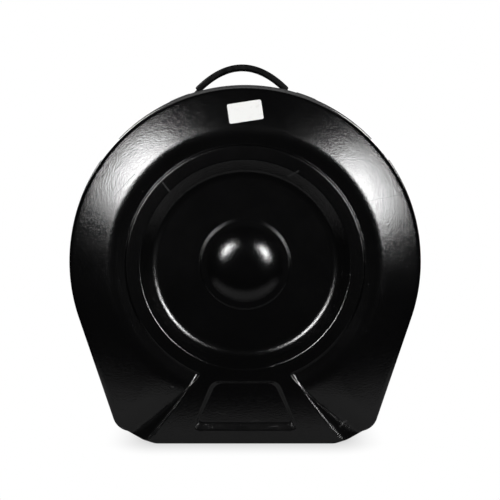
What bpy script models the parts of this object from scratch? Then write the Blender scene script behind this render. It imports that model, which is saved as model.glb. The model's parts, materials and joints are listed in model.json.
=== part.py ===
"""Round hard case for cymbals, standing on its own flat foot.

Two moulded shells meet at a parting plane. They turn on two butt hinges in a channel under the
foot, and two draw latches sit flush in pockets of the upper rim. A strap handle crosses the top.
Inside, a threaded post with felts and a wing nut holds the cymbals between foam rings.
X runs to the right, Y to the back and Z up. The front faces -Y, and the case stands on Z = 0.
"""
import math

import bmesh
import bpy
from mathutils import Matrix, Vector

# Outline of the case, seen from the front
CASE_RADIUS = 0.310
CASE_CENTRE_HEIGHT = 0.312
FOOT_SHARE = 0.5032
FOOT_HALF_WIDTH = CASE_RADIUS * FOOT_SHARE
CORNER_RADIUS = 0.032
FOOT_EDGE_RADIUS = 0.030
SMALLEST_FILLET = 0.001
SIDE_LEAN = math.radians(18.0)
FOOT_RISE = math.radians(17.7)

# Depths of the two shells, either side of the parting plane
PARTING_Y = -0.015
FRONT_DEPTH = 0.060
BACK_DEPTH = 0.090
WALL = 0.0035
DRAFT = math.radians(3.0)
SEAT_GAP = 0.0003
OVERRUN = 0.010
WELD_DISTANCE = 0.00001

# Bead round the rim of each shell, and the lip that locates the lid
BEAD_STEP = 0.003
BEAD_HEIGHT = 0.005
LIP_REACH = 0.005
LIP_THICKNESS = 0.002
LIP_ROOT = 0.006
LIP_CLEARANCE = 0.0004

# Pressed face, shared by both shells: crest, valley, ring, dish and bell
FACE_DROP = 0.021
SHOULDER_SETBACK = 0.008
CONE_BULGE = 0.0012
CREST_SHARE = 0.7452
VALLEY_SHARE = 0.6677
RING_OUTER_SHARE = 0.6581
RING_INNER_SHARE = 0.5839
DISH_WALL_SHARE = 0.5065
DISH_FLOOR_SHARE = 0.4581
BELL_STEP_SHARE = 0.2484
FRONT_BELL_SHARE = 0.2129
CREST_RADIUS = CASE_RADIUS * CREST_SHARE
CREST_SETBACK = 0.004
VALLEY_RADIUS = CASE_RADIUS * VALLEY_SHARE
VALLEY_DEPTH = 0.005
RING_OUTER_RADIUS = CASE_RADIUS * RING_OUTER_SHARE
RING_INNER_RADIUS = CASE_RADIUS * RING_INNER_SHARE
DISH_DEPTH = 0.022
DISH_WALL_RADIUS = CASE_RADIUS * DISH_WALL_SHARE
DISH_FLOOR_RADIUS = CASE_RADIUS * DISH_FLOOR_SHARE
BELL_STEP_RADIUS = CASE_RADIUS * BELL_STEP_SHARE
BELL_STEP_HEIGHT = 0.002
BELL_STEP_SLOPE = 0.0015
BELL_SINK = 0.0005
FRONT_BELL_RADIUS = CASE_RADIUS * FRONT_BELL_SHARE
FRONT_BELL_FLAT_RADIUS = 0.009
BACK_BELL_FLAT_RADIUS = 0.042
BACK_BELL_SHOULDER_RADIUS = 0.054

# Wedge that carries the ring's level down to the foot
WEDGE_TOP_MARGIN = 0.006
WEDGE_TOP_HALF_WIDTH = 0.0775
WEDGE_FOOT_HALF_WIDTH = 0.1743
WEDGE_FLANK_DROP = 0.030
WEDGE_FLANK_SPREAD = 0.055
WEDGE_FLANK_TOP_SPREAD = 0.015
WEDGE_EDGE_SETBACK = 0.006
WEDGE_SINK = 0.0006

# Bare panel recessed in the front wedge
PANEL_TOP_HEIGHT = 0.111
PANEL_FOOT_HEIGHT = 0.025
PANEL_TOP_HALF_WIDTH = 0.058
PANEL_FOOT_HALF_WIDTH = 0.092
PANEL_CORNER_RADIUS = 0.014
PANEL_DEPTH = 0.0045
PANEL_TOP_SLOPE = 0.0035
PANEL_FOOT_SLOPE = 0.012
PANEL_SIDE_SLOPE = 0.008

# Channel under the foot, and the two butt hinges in it
CHANNEL_HALF_DEPTH = 0.022
CHANNEL_HEIGHT = 0.012
HINGE_SPACING = 0.180
HINGE_LENGTH = 0.050
HINGE_LEAF_DEPTH = 0.020
HINGE_LEAF_THICKNESS = 0.0018
KNUCKLE_RADIUS = 0.0032
KNUCKLE_COUNT = 5
HINGE_PIN_RADIUS = 0.0015
HINGE_PIN_OVERHANG = 0.001

# Pockets and draw latches, placed round the rim by their angle above the horizontal
LATCH_ANGLE = math.radians(40.0)
POCKET_DEPTH = 0.012
POCKET_HALF_WIDTH = 0.023
POCKET_FRONT_LENGTH = 0.024
POCKET_BACK_LENGTH = 0.052
POCKET_CORNER_RADIUS = 0.006
LATCH_PLATE_THICKNESS = 0.0015
LATCH_PLATE_HALF_WIDTH = 0.0195
LATCH_PLATE_LENGTH = 0.033
LATCH_PLATE_START = 0.003
LATCH_PIVOT_DISTANCE = 0.018
LATCH_PIVOT_HEIGHT = 0.0047
LATCH_PIN_RADIUS = 0.0015
LATCH_PIN_OVERHANG = 0.0002
LATCH_EAR_THICKNESS = 0.0018
LATCH_EAR_HALF_LENGTH = 0.0035
LATCH_EAR_TOP = 0.0015
LEVER_HALF_WIDTH = 0.0105
LEVER_SHEET = 0.002
LEVER_TOP = 0.0038
LEVER_NOSE_RADIUS = 0.0038
LEVER_SKIRT_DROP = 0.0042
LEVER_SKIRT_LENGTH = 0.0125
LEVER_LENGTH = 0.025
LEVER_TAB_LENGTH = 0.005
LEVER_TAB_RISE = 0.0012
LEVER_WINDOW_END = 0.0044
BAIL_WIRE_RADIUS = 0.00125
BAIL_PIVOT_DISTANCE = 0.008
BAIL_PIVOT_DROP = 0.0015
BAIL_LEG_GAP = 0.0009
BAIL_BEND_RADIUS = 0.004
BAIL_ELBOW_RADIUS = 0.0019
BAIL_TRUNNION_LENGTH = 0.0038
KEEPER_DISTANCE = 0.0125
KEEPER_LIP_THICKNESS = 0.002
KEEPER_LIP_HEIGHT = 0.0042
KEEPER_LIP_HALF_WIDTH = 0.009
KEEPER_SLACK = 0.0006
KEEPER_PLATE_LENGTH = 0.012

# Strap handle over the top
HANDLE_X = -0.0035
HANDLE_Y = 0.012
CAP_START = 0.092
CAP_LENGTH = 0.035
CAP_WIDTH = 0.032
CAP_THICKNESS = 0.0055
CAP_EDGE_BEVEL = 0.0012
CAP_SLOT_LENGTH = 0.022
STRAP_WIDTH = 0.020
STRAP_THICKNESS = 0.002
STRAP_TUCK = 0.014
GRIP_SHIFT = -0.002
GRIP_HALF_SPAN = 0.079
GRIP_RISE = 0.0395
GRIP_APEX_ABOVE_CASE = 0.032
GRIP_WIDTH = 0.025
GRIP_THICKNESS = 0.0105
GRIP_CORNER_RADIUS = 0.003
CAP_RIVET_RADIUS = 0.004
CAP_RIVET_HEIGHT = 0.0016
CAP_RIVET_MARGIN = 0.007

# Post, felts and wing nut that hold the cymbals, and the foam rings
POST_RADIUS = 0.005
POST_FRONT_Y = -0.037
POST_TIP_CHAMFER = 0.001
FLANGE_RADIUS = 0.032
FLANGE_THICKNESS = 0.004
FLANGE_SCREW_CIRCLE = 0.024
FLANGE_SCREW_RADIUS = 0.004
FLANGE_SCREW_HEIGHT = 0.002
FLANGE_SCREW_COUNT = 4
SLEEVE_WALL = 0.0015
SLEEVE_FRONT_Y = 0.010
FELT_RADIUS = 0.019
FELT_THICKNESS = 0.008
CUP_WASHER_RADIUS = 0.016
CUP_WASHER_THICKNESS = 0.0025
HOLD_DOWN_Y = 0.004
NUT_HUB_RADIUS = 0.009
NUT_HUB_LENGTH = 0.013
NUT_HUB_TAPER = 0.0015
NUT_WING_SPAN = 0.024
NUT_WING_THICKNESS = 0.004
NUT_WING_REACH = 0.020
NUT_WING_ROOT_SHARE = 0.25
FOAM_INNER_MARGIN = 0.007
FOAM_OUTER_MARGIN = 0.004
FOAM_INNER_RADIUS = BELL_STEP_RADIUS + FOAM_INNER_MARGIN
FOAM_OUTER_RADIUS = DISH_FLOOR_RADIUS - FOAM_OUTER_MARGIN
FOAM_THICKNESS = 0.010

# Facet counts
RIM_STEPS = 12
SIDE_STEPS = 3
CORNER_STEPS = 3
FOOT_STEPS = 2
TURN_STEPS = 20
SMALL_TURN_STEPS = 12
FOAM_STEPS = 32
GRIP_STEPS = 12
BEND_STEPS = 3
SHARP_ANGLE = math.radians(32.0)

FRONT = -1
BACK = 1


def clear_scene():
    for thing in list(bpy.data.objects):
        bpy.data.objects.remove(thing)


# Materials

def make_material(name, colour, roughness, metallic=0.0):
    material = bpy.data.materials.new(name)
    material.use_nodes = True
    shader = material.node_tree.nodes["Principled BSDF"]
    shader.inputs["Base Color"].default_value = (*colour, 1.0)
    shader.inputs["Roughness"].default_value = roughness
    shader.inputs["Metallic"].default_value = metallic
    material.diffuse_color = (*colour, 1.0)
    return material


def make_materials():
    return {
        "shell": make_material("moulded_shell", (0.012, 0.012, 0.013), 0.34),
        "grip": make_material("grip_rubber", (0.018, 0.018, 0.019), 0.45),
        "latch": make_material("black_steel", (0.02, 0.02, 0.022), 0.3, 1.0),
        "steel": make_material("plated_steel", (0.62, 0.61, 0.59), 0.28, 1.0),
        "foam": make_material("pad_foam", (0.05, 0.05, 0.055), 0.95),
        "felt": make_material("felt", (0.62, 0.60, 0.55), 0.95),
        "sleeve": make_material("post_sleeve", (0.03, 0.03, 0.03), 0.5),
    }


# Mesh helpers

def finish_object(name, bm, material=None, place=None):
    bmesh.ops.recalc_face_normals(bm, faces=bm.faces)
    mesh = bpy.data.meshes.new(name)
    bm.to_mesh(mesh)
    bm.free()
    mesh.shade_smooth()
    mesh.set_sharp_from_angle(angle=SHARP_ANGLE)
    thing = bpy.data.objects.new(name, mesh)
    bpy.context.scene.collection.objects.link(thing)
    if place is not None:
        thing.matrix_world = place
    if material is not None:
        mesh.materials.append(material)
    return thing


def combine(target, tool, operation):
    """Cut, join or intersect target with tool, keep the result on target and drop the tool."""
    bpy.context.view_layer.update()
    modifier = target.modifiers.new(operation.lower(), 'BOOLEAN')
    modifier.operation = operation
    modifier.solver = 'EXACT'
    modifier.object = tool
    depsgraph = bpy.context.evaluated_depsgraph_get()
    result = bpy.data.meshes.new_from_object(target.evaluated_get(depsgraph))
    target.modifiers.clear()
    target.data = result
    bpy.data.objects.remove(tool)
    weld_slivers(result)


def weld_slivers(mesh):
    """Close up the hair-thin faces that a cut along touching faces can leave."""
    bm = bmesh.new()
    bm.from_mesh(mesh)
    bmesh.ops.remove_doubles(bm, verts=bm.verts, dist=WELD_DISTANCE)
    bmesh.ops.dissolve_degenerate(bm, edges=bm.edges, dist=WELD_DISTANCE)
    bmesh.ops.holes_fill(bm, edges=bm.edges, sides=3)
    bm.to_mesh(mesh)
    bm.free()


def set_material(thing, material):
    thing.data.materials.clear()
    thing.data.materials.append(material)
    thing.data.shade_smooth()
    thing.data.set_sharp_from_angle(angle=SHARP_ANGLE)


def add_ring(bm, points):
    verts = [bm.verts.new(point) for point in points]
    edges = [bm.edges.new((verts[i - 1], verts[i])) for i in range(len(verts))]
    return verts, edges


def grow_ring(bm, verts, edges, points):
    """Extrude an open ring and put its copy on the next ring's points."""
    grown = bmesh.ops.extrude_edge_only(bm, edges=edges)["geom"]
    new_edges = [item for item in grown if isinstance(item, bmesh.types.BMEdge)]
    new_verts = {item for item in grown if isinstance(item, bmesh.types.BMVert)}
    copies = []
    for vert, point in zip(verts, points):
        copy = next(e.other_vert(vert) for e in vert.link_edges if e.other_vert(vert) in new_verts)
        copies.append(copy)
        copy.co = point
    return copies, [e for e in new_edges if e.verts[0] in new_verts and e.verts[1] in new_verts]


def loft(rings, closed=False):
    """Skin a row of rings; the ends get flat caps, or meet each other if closed."""
    bm = bmesh.new()
    verts, edges = add_ring(bm, rings[0])
    if not closed:
        bm.faces.new(verts)
    for ring in rings[1:] + (rings[:1] if closed else []):
        verts, edges = grow_ring(bm, verts, edges, ring)
    if closed:
        bmesh.ops.remove_doubles(bm, verts=bm.verts, dist=WELD_DISTANCE)
    else:
        bm.faces.new(verts)
    return bm


def circle_ring(radius, height, steps):
    turns = [math.tau * i / steps for i in range(steps)]
    return [Vector((radius * math.cos(a), radius * math.sin(a), height)) for a in turns]


def turned(stations, steps, closed=False):
    """Revolve a row of (radius, height) stations about local Z."""
    return loft([circle_ring(radius, height, steps) for radius, height in stations], closed)


def box(low, high, bevel=0.0, bevel_axis=None):
    """Box between two corners; the edges along bevel_axis can be rounded."""
    bm = bmesh.new()
    size = Vector(high) - Vector(low)
    middle = (Vector(high) + Vector(low)) / 2
    placing = Matrix.Translation(middle) @ Matrix.Diagonal((*size, 1.0))
    bmesh.ops.create_cube(bm, size=1.0, matrix=placing)
    if bevel > 0:
        edges = list(bm.edges)
        if bevel_axis is not None:
            edges = [e for e in edges if abs((e.verts[0].co - e.verts[1].co)[bevel_axis]) > bevel]
        bmesh.ops.bevel(bm, geom=edges, offset=bevel, segments=2, profile=0.5, affect='EDGES')
    return bm


def extruded(outline, low, high, axis):
    """Extrude a closed outline of (u, v) pairs along X (axis 0) or Z (axis 2)."""
    rings = []
    for reach in (low, high):
        if axis == 0:
            rings.append([Vector((reach, u, v)) for u, v in outline])
        else:
            rings.append([Vector((u, v, reach)) for u, v in outline])
    return loft(rings)


def rod(start, end, radius, steps=SMALL_TURN_STEPS):
    """Round bar between two points."""
    direction = Vector(end) - Vector(start)
    frame = Matrix.Translation(start) @ direction.to_track_quat('Z', 'Y').to_matrix().to_4x4()
    bm = turned([(radius, 0), (radius, direction.length)], steps)
    bmesh.ops.transform(bm, matrix=frame, verts=bm.verts)
    return bm


def screw_head(radius, height):
    """Low domed head on its flat seat."""
    return turned([(radius, 0), (radius, height / 2), (radius / 2, height)], SMALL_TURN_STEPS)


def seat_frame(centre, normal):
    """Local Z stands on a seat."""
    return Matrix.Translation(centre) @ Vector(normal).to_track_quat('Z', 'Y').to_matrix().to_4x4()


def arc_points(centre, radius, start, end, steps):
    angles = [start + (end - start) * i / steps for i in range(steps + 1)]
    return [Vector((centre[0] + radius * math.cos(a), centre[1] + radius * math.sin(a))) for a in angles]


def corner_curve(before, corner, after, setback, steps):
    """Curve that rounds one corner of a polyline, leaving it setback away on each side."""
    before, corner, after = Vector(before), Vector(corner), Vector(after)
    start = corner + (before - corner).normalized() * setback
    end = corner + (after - corner).normalized() * setback
    shares = [i / steps for i in range(steps + 1)]
    return [start * (1 - t) ** 2 + corner * 2 * t * (1 - t) + end * t ** 2 for t in shares]


def bent(start, control, end, steps):
    """Quadratic curve without its first point."""
    start, control, end = Vector(start), Vector(control), Vector(end)
    shares = [i / steps for i in range(1, steps + 1)]
    return [start * (1 - t) ** 2 + control * 2 * t * (1 - t) + end * t ** 2 for t in shares]


def between(start, end, steps):
    return [start.lerp(end, i / steps) for i in range(1, steps)]


# Outline of the case

def wall_inset(level):
    """How far the drafted wall stands inside the rim, at a level counted from the parting plane."""
    return BEAD_STEP + max(level, 0) * math.tan(DRAFT)


def line_crossing(first, second):
    """Point where two outline lines meet; a line is (angle of its normal, distance from origin)."""
    (angle_a, reach_a), (angle_b, reach_b) = first, second
    spread = math.sin(angle_b - angle_a)
    x = (reach_a * math.sin(angle_b) - reach_b * math.sin(angle_a)) / spread
    z = (reach_b * math.cos(angle_a) - reach_a * math.cos(angle_b)) / spread
    return Vector((x, z))


def outline_half(rim_inset, foot_inset):
    """Right half of the outline, from the top down to the middle of the foot."""
    side_angle = -SIDE_LEAN
    rise_angle = FOOT_RISE - math.pi / 2
    foot_angle = -math.pi / 2
    side_reach = CASE_RADIUS - CASE_CENTRE_HEIGHT * math.sin(SIDE_LEAN) - rim_inset
    rise_reach = FOOT_HALF_WIDTH * math.cos(rise_angle) - foot_inset
    foot_reach = -foot_inset
    corner = max(CORNER_RADIUS - foot_inset, SMALLEST_FILLET)
    corner_centre = line_crossing((side_angle, side_reach - corner), (rise_angle, rise_reach - corner))
    edge = max(FOOT_EDGE_RADIUS - foot_inset, SMALLEST_FILLET)
    edge_centre = line_crossing((rise_angle, rise_reach - edge), (foot_angle, foot_reach - edge))
    rim = arc_points((0, CASE_CENTRE_HEIGHT), CASE_RADIUS - rim_inset, math.pi / 2, side_angle, RIM_STEPS)
    low = arc_points(corner_centre, corner, side_angle, rise_angle, CORNER_STEPS)
    toe = arc_points(edge_centre, edge, rise_angle, foot_angle, FOOT_STEPS)
    middle = Vector((0, foot_inset))
    points = rim + between(rim[-1], low[0], SIDE_STEPS) + low + toe
    return points + between(toe[-1], middle, FOOT_STEPS) + [middle]


def outline(rim_inset, foot_inset):
    right = outline_half(rim_inset, foot_inset)
    left = [Vector((-p.x, p.y)) for p in reversed(right[1:-1])]
    return right + left


def face_ring(side, radius, level):
    """Ring of the shell at a face radius: the case outline at the rim, a circle from the crest in."""
    inset = CASE_RADIUS - radius
    foot_inset = max(inset - wall_inset(level), 0)
    shoulder = CASE_RADIUS - wall_inset(FRONT_DEPTH)
    roundness = min(max((shoulder - radius) / (shoulder - CREST_RADIUS), 0), 1)
    centre = Vector((0, CASE_CENTRE_HEIGHT))
    ring = []
    for rim_point, point in zip(outline(0, 0), outline(inset, foot_inset)):
        circle_point = centre + (rim_point - centre).normalized() * radius
        flat = point.lerp(circle_point, roundness)
        ring.append(Vector((flat.x, PARTING_Y + side * level, flat.y)))
    return ring


# Profile of the pressed face, as (radius, level) stations from the rim to the middle

def wall_station(level):
    return Vector((CASE_RADIUS - wall_inset(level), level))


def shell_depth(side):
    return FRONT_DEPTH if side == FRONT else BACK_DEPTH


def bell_stations(side, steps):
    floor = shell_depth(side) - DISH_DEPTH
    top = shell_depth(side) - BELL_SINK
    edge = Vector((BELL_STEP_RADIUS - BELL_STEP_SLOPE, floor + BELL_STEP_HEIGHT))
    if side == BACK:
        return [edge] + bent(edge, (BACK_BELL_SHOULDER_RADIUS, top), (BACK_BELL_FLAT_RADIUS, top), steps)
    height = top - edge.y
    sphere = (FRONT_BELL_RADIUS ** 2 + height ** 2) / (2 * height)
    span = FRONT_BELL_FLAT_RADIUS - FRONT_BELL_RADIUS
    radii = [FRONT_BELL_RADIUS + span * i / steps for i in range(steps + 1)]
    return [edge] + [Vector((r, top - sphere + math.sqrt(sphere ** 2 - r ** 2))) for r in radii]


def face_stations(side, fine):
    depth = shell_depth(side)
    shoulder = wall_station(depth - FACE_DROP)
    crest = Vector((CREST_RADIUS, depth))
    middle = (shoulder + crest) / 2 + Vector((0, CONE_BULGE))
    valley = Vector((VALLEY_RADIUS, depth - VALLEY_DEPTH))
    ring_inner = Vector((RING_INNER_RADIUS, depth))
    floor = depth - DISH_DEPTH
    stations = corner_curve(wall_station(0), shoulder, middle, SHOULDER_SETBACK, 3 if fine else 2)
    stations.append(middle)
    stations += corner_curve(middle, crest, valley, CREST_SETBACK, 2) if fine else [crest]
    stations += [valley, Vector((RING_OUTER_RADIUS, depth)), ring_inner]
    stations += bent(ring_inner, (DISH_WALL_RADIUS, floor), (DISH_FLOOR_RADIUS, floor), 4 if fine else 3)
    stations.append(Vector((BELL_STEP_RADIUS, floor)))
    return stations + bell_stations(side, 4 if fine else 3)


def moved_inwards(stations, distance):
    """The same profile one wall further in, with mitred corners."""
    result = []
    for i, station in enumerate(stations):
        before = (station - stations[i - 1]) if i > 0 else (stations[1] - station)
        after = (stations[i + 1] - station) if i < len(stations) - 1 else before
        before, after = before.normalized(), after.normalized()
        bisector = Vector((-before.y - after.y, before.x + after.x)).normalized()
        reach = distance / max(bisector.dot(Vector((-before.y, before.x))), 0.5)
        result.append(station + bisector * reach)
    return result


def lip_radius():
    """Outer radius of the lip: inside the lid's wall where the lip ends."""
    return CASE_RADIUS - wall_inset(LIP_REACH) - WALL / math.cos(DRAFT) - LIP_CLEARANCE


def body_stations(side, inset):
    """Whole profile of a shell's outside (inset 0) or of its cavity (inset WALL)."""
    start = SEAT_GAP / 2
    if inset == 0:
        rim = [Vector((CASE_RADIUS, start)), Vector((CASE_RADIUS, BEAD_HEIGHT))]
        rim.append(wall_station(BEAD_HEIGHT + BEAD_STEP))
        if side == BACK:
            lip = [Vector((lip_radius(), -LIP_REACH)), Vector((lip_radius(), start))]
            rim = lip + rim
        return rim + face_stations(side, fine=True)
    face = moved_inwards([wall_station(0)] + face_stations(side, fine=False), inset)
    if side == BACK:
        mouth = lip_radius() - LIP_THICKNESS
        face[0] = face[0].lerp(face[1], (LIP_ROOT + LIP_THICKNESS) / face[1].y)
        return [Vector((mouth, -LIP_REACH - OVERRUN)), Vector((mouth, LIP_ROOT))] + face
    return [Vector((face[0].x, -OVERRUN))] + face


# Volumes that make up a shell, each able to stand one wall further in

def face_body(side, inset):
    return finish_object("face", loft([face_ring(side, s.x, s.y) for s in body_stations(side, inset)]))


def rim_block(side, inset):
    """Plain block with the case outline, as deep as the shell, with a rounded front edge."""
    depth = shell_depth(side)
    corner = wall_station(depth)
    inner = Vector((corner.x - CORNER_RADIUS, depth))
    stations = [wall_station(0)] + corner_curve(wall_station(0), corner, inner, WEDGE_EDGE_SETBACK, 3)
    if inset > 0:
        stations = moved_inwards(stations + [inner], inset)[:-1]
    inward = [CASE_RADIUS - s.x for s in stations]
    rings = []
    for station, rim_inset in zip(stations, inward):
        foot_inset = max(rim_inset - wall_inset(station.y), 0)
        points = outline(rim_inset, foot_inset)
        rings.append([Vector((p.x, PARTING_Y + side * station.y, p.y)) for p in points])
    return finish_object("block", loft(rings))


def wedge_ring(side, inset, spread, top_spread, level):
    top = CASE_CENTRE_HEIGHT - RING_INNER_RADIUS - WEDGE_TOP_MARGIN
    slope = (WEDGE_FOOT_HALF_WIDTH - WEDGE_TOP_HALF_WIDTH) / top
    side_inset = inset * math.hypot(1, slope)
    half_top = WEDGE_TOP_HALF_WIDTH - side_inset + top_spread + inset * slope
    half_foot = WEDGE_FOOT_HALF_WIDTH - side_inset + spread + OVERRUN * slope
    corners = [
        (-half_foot, -OVERRUN),
        (half_foot, -OVERRUN),
        (half_top, top - inset),
        (-half_top, top - inset),
    ]
    return [Vector((x, PARTING_Y + side * level, z)) for x, z in corners]


def wedge_body(side, inset):
    top_level = shell_depth(side) - WEDGE_SINK - inset
    flank_level = top_level - WEDGE_FLANK_DROP
    rings = [
        wedge_ring(side, inset, WEDGE_FLANK_SPREAD, WEDGE_FLANK_TOP_SPREAD, flank_level),
        wedge_ring(side, inset, 0, 0, top_level),
        wedge_ring(side, inset, 0, 0, top_level + OVERRUN),
    ]
    bm = loft(rings)
    bmesh.ops.triangulate(bm, faces=bm.faces, quad_method='SHORT_EDGE')
    return finish_object("wedge", bm)


def rounded_trapezium(top, foot, half_top, half_foot, radius):
    """Trapezium with rounded corners, as (x, z) pairs."""
    corners = [
        Vector((half_top, top)),
        Vector((half_foot, foot)),
        Vector((-half_foot, foot)),
        Vector((-half_top, top)),
    ]
    points = []
    for i, corner in enumerate(corners):
        points += corner_curve(corners[i - 1], corner, corners[(i + 1) % len(corners)], radius, 3)
    return points


def panel_cutter(side, inset):
    """Recess of the bare panel, with sloping walls."""
    depth = shell_depth(side)
    mouth_rise = OVERRUN / PANEL_DEPTH
    rings = []
    for share, level in ((1 + mouth_rise, depth + OVERRUN), (0, depth - PANEL_DEPTH - inset)):
        points = rounded_trapezium(
            PANEL_TOP_HEIGHT - PANEL_TOP_SLOPE + PANEL_TOP_SLOPE * share + inset,
            PANEL_FOOT_HEIGHT + PANEL_FOOT_SLOPE - PANEL_FOOT_SLOPE * share - inset,
            PANEL_TOP_HALF_WIDTH - PANEL_SIDE_SLOPE + PANEL_SIDE_SLOPE * share + inset,
            PANEL_FOOT_HALF_WIDTH - PANEL_SIDE_SLOPE + PANEL_SIDE_SLOPE * share + inset,
            PANEL_CORNER_RADIUS,
        )
        rings.append([Vector((p.x, PARTING_Y + side * level, p.y)) for p in points])
    return finish_object("panel", loft(rings))


def latch_frame(hand):
    """Local X runs round the rim, Y to the back and Z out of the case; origin on the case's axis."""
    angle = LATCH_ANGLE if hand > 0 else math.pi - LATCH_ANGLE
    outwards = Vector((math.cos(angle), 0, math.sin(angle)))
    back = Vector((0, 1, 0))
    along = back.cross(outwards)
    turn = Matrix((along, back, outwards)).transposed().to_4x4()
    return Matrix.Translation((0, PARTING_Y, CASE_CENTRE_HEIGHT)) @ turn


def pocket_cutter(side, hand, inset):
    length = POCKET_FRONT_LENGTH if side == FRONT else POCKET_BACK_LENGTH
    ends = sorted((side * (length + inset), -side * OVERRUN))
    half = POCKET_HALF_WIDTH + inset
    floor = CASE_RADIUS - POCKET_DEPTH - inset
    bm = box((-half, ends[0], floor), (half, ends[1], CASE_RADIUS + OVERRUN), POCKET_CORNER_RADIUS, 2)
    return finish_object("pocket", bm, place=latch_frame(hand))


def channel_cutter(side, inset):
    ends = sorted((PARTING_Y + side * (CHANNEL_HALF_DEPTH + inset), PARTING_Y - side * OVERRUN))
    half = CASE_RADIUS + OVERRUN
    bm = box((-half, ends[0], -OVERRUN), (half, ends[1], CHANNEL_HEIGHT + inset))
    return finish_object("channel", bm)


def shell_volume(side, inset):
    body = face_body(side, inset)
    wedge = wedge_body(side, inset)
    combine(wedge, rim_block(side, inset), 'INTERSECT')
    combine(body, wedge, 'UNION')
    if side == FRONT:
        combine(body, panel_cutter(side, inset), 'DIFFERENCE')
    for hand in (-1, 1):
        combine(body, pocket_cutter(side, hand, inset), 'DIFFERENCE')
    combine(body, channel_cutter(side, inset), 'DIFFERENCE')
    return body


def clear_lip(shell):
    """Cut the lip away where the lid's latch pockets and hinge channel stand in its place."""
    margin = WALL + LIP_CLEARANCE
    half = POCKET_HALF_WIDTH + margin
    low = CASE_RADIUS - POCKET_DEPTH - margin - LIP_THICKNESS
    for hand in (-1, 1):
        notch = box((-half, -OVERRUN, low), (half, SEAT_GAP / 2, CASE_RADIUS))
        combine(shell, finish_object("notch", notch, place=latch_frame(hand)), 'DIFFERENCE')
    wide = CASE_RADIUS + OVERRUN
    channel_low = (-wide, PARTING_Y - OVERRUN, -OVERRUN)
    channel_high = (wide, PARTING_Y + SEAT_GAP / 2, CHANNEL_HEIGHT + margin)
    combine(shell, finish_object("notch", box(channel_low, channel_high)), 'DIFFERENCE')


def make_shell(name, side, material):
    shell = shell_volume(side, 0)
    combine(shell, shell_volume(side, WALL), 'DIFFERENCE')
    if side == BACK:
        clear_lip(shell)
    shell.name = name
    set_material(shell, material)
    return shell


# Butt hinges in the channel

def hinge_frame(hand):
    """Local X is the hinge axis, Y runs to the back and Z up; origin in the middle of the pin."""
    height = CHANNEL_HEIGHT - SEAT_GAP - KNUCKLE_RADIUS
    return Matrix.Translation((hand * HINGE_SPACING / 2, PARTING_Y, height))


def knuckle_span(index):
    pitch = HINGE_LENGTH / KNUCKLE_COUNT
    start = -HINGE_LENGTH / 2 + index * pitch
    return start + SEAT_GAP / 2, start + pitch - SEAT_GAP / 2


def hinge_leaf(name, side, hand, material):
    half = HINGE_LENGTH / 2
    top = KNUCKLE_RADIUS
    ends = sorted((0, side * HINGE_LEAF_DEPTH))
    leaf = finish_object(name, box((-half, ends[0], top - HINGE_LEAF_THICKNESS), (half, ends[1], top)))
    own = 0 if side == BACK else 1
    for index in range(KNUCKLE_COUNT):
        start, end = knuckle_span(index)
        if index % 2 == own:
            knuckle = rod((start, 0, 0), (end, 0, 0), KNUCKLE_RADIUS)
            combine(leaf, finish_object("knuckle", knuckle), 'UNION')
        else:
            reach = KNUCKLE_RADIUS + SEAT_GAP
            gap = box((start - SEAT_GAP, -reach, -reach), (end + SEAT_GAP, reach, reach))
            combine(leaf, finish_object("gap", gap), 'DIFFERENCE')
    bore = rod((-half - OVERRUN, 0, 0), (half + OVERRUN, 0, 0), HINGE_PIN_RADIUS + SEAT_GAP)
    combine(leaf, finish_object("bore", bore), 'DIFFERENCE')
    leaf.matrix_world = hinge_frame(hand)
    set_material(leaf, material)
    return leaf


def hinge_pin(name, hand, material):
    half = HINGE_LENGTH / 2 + HINGE_PIN_OVERHANG
    pin = rod((-half, 0, 0), (half, 0, 0), HINGE_PIN_RADIUS)
    return finish_object(name, pin, material, hinge_frame(hand))


def make_hinges(materials):
    for hand, word in ((-1, "left"), (1, "right")):
        hinge_leaf("hinge_rear_leaf_" + word, BACK, hand, materials["steel"])
        hinge_leaf("hinge_front_leaf_" + word, FRONT, hand, materials["steel"])
        hinge_pin("hinge_pin_" + word, hand, materials["steel"])


# Draw latches in the rim pockets

def plate_floor():
    """Height of the latch plates' underside above the case's axis."""
    return CASE_RADIUS - POCKET_DEPTH + SEAT_GAP


def pivot_height():
    return plate_floor() + LATCH_PLATE_THICKNESS + LATCH_PIVOT_HEIGHT


def lever_frame(hand):
    return latch_frame(hand) @ Matrix.Translation((0, LATCH_PIVOT_DISTANCE, pivot_height()))


def bail_frame(hand):
    return lever_frame(hand) @ Matrix.Translation((0, BAIL_PIVOT_DISTANCE, -BAIL_PIVOT_DROP))


def latch_base(name, hand, material):
    low = plate_floor()
    top = low + LATCH_PLATE_THICKNESS
    start = LATCH_PLATE_START
    half = LATCH_PLATE_HALF_WIDTH
    plate = box((-half, start, low), (half, start + LATCH_PLATE_LENGTH, top))
    base = finish_object(name, plate, place=latch_frame(hand))
    outer = LEVER_HALF_WIDTH - LEVER_SHEET - SEAT_GAP
    for sign in (-1, 1):
        sides = sorted((sign * outer, sign * (outer - LATCH_EAR_THICKNESS)))
        near = LATCH_PIVOT_DISTANCE - LATCH_EAR_HALF_LENGTH
        far = LATCH_PIVOT_DISTANCE + LATCH_EAR_HALF_LENGTH
        ear = box((sides[0], near, (low + top) / 2), (sides[1], far, pivot_height() + LATCH_EAR_TOP))
        combine(base, finish_object("ear", ear, place=latch_frame(hand)), 'UNION')
    bore = rod((-half, 0, 0), (half, 0, 0), LATCH_PIN_RADIUS + SEAT_GAP)
    combine(base, finish_object("bore", bore, place=lever_frame(hand)), 'DIFFERENCE')
    set_material(base, material)
    return base


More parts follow.
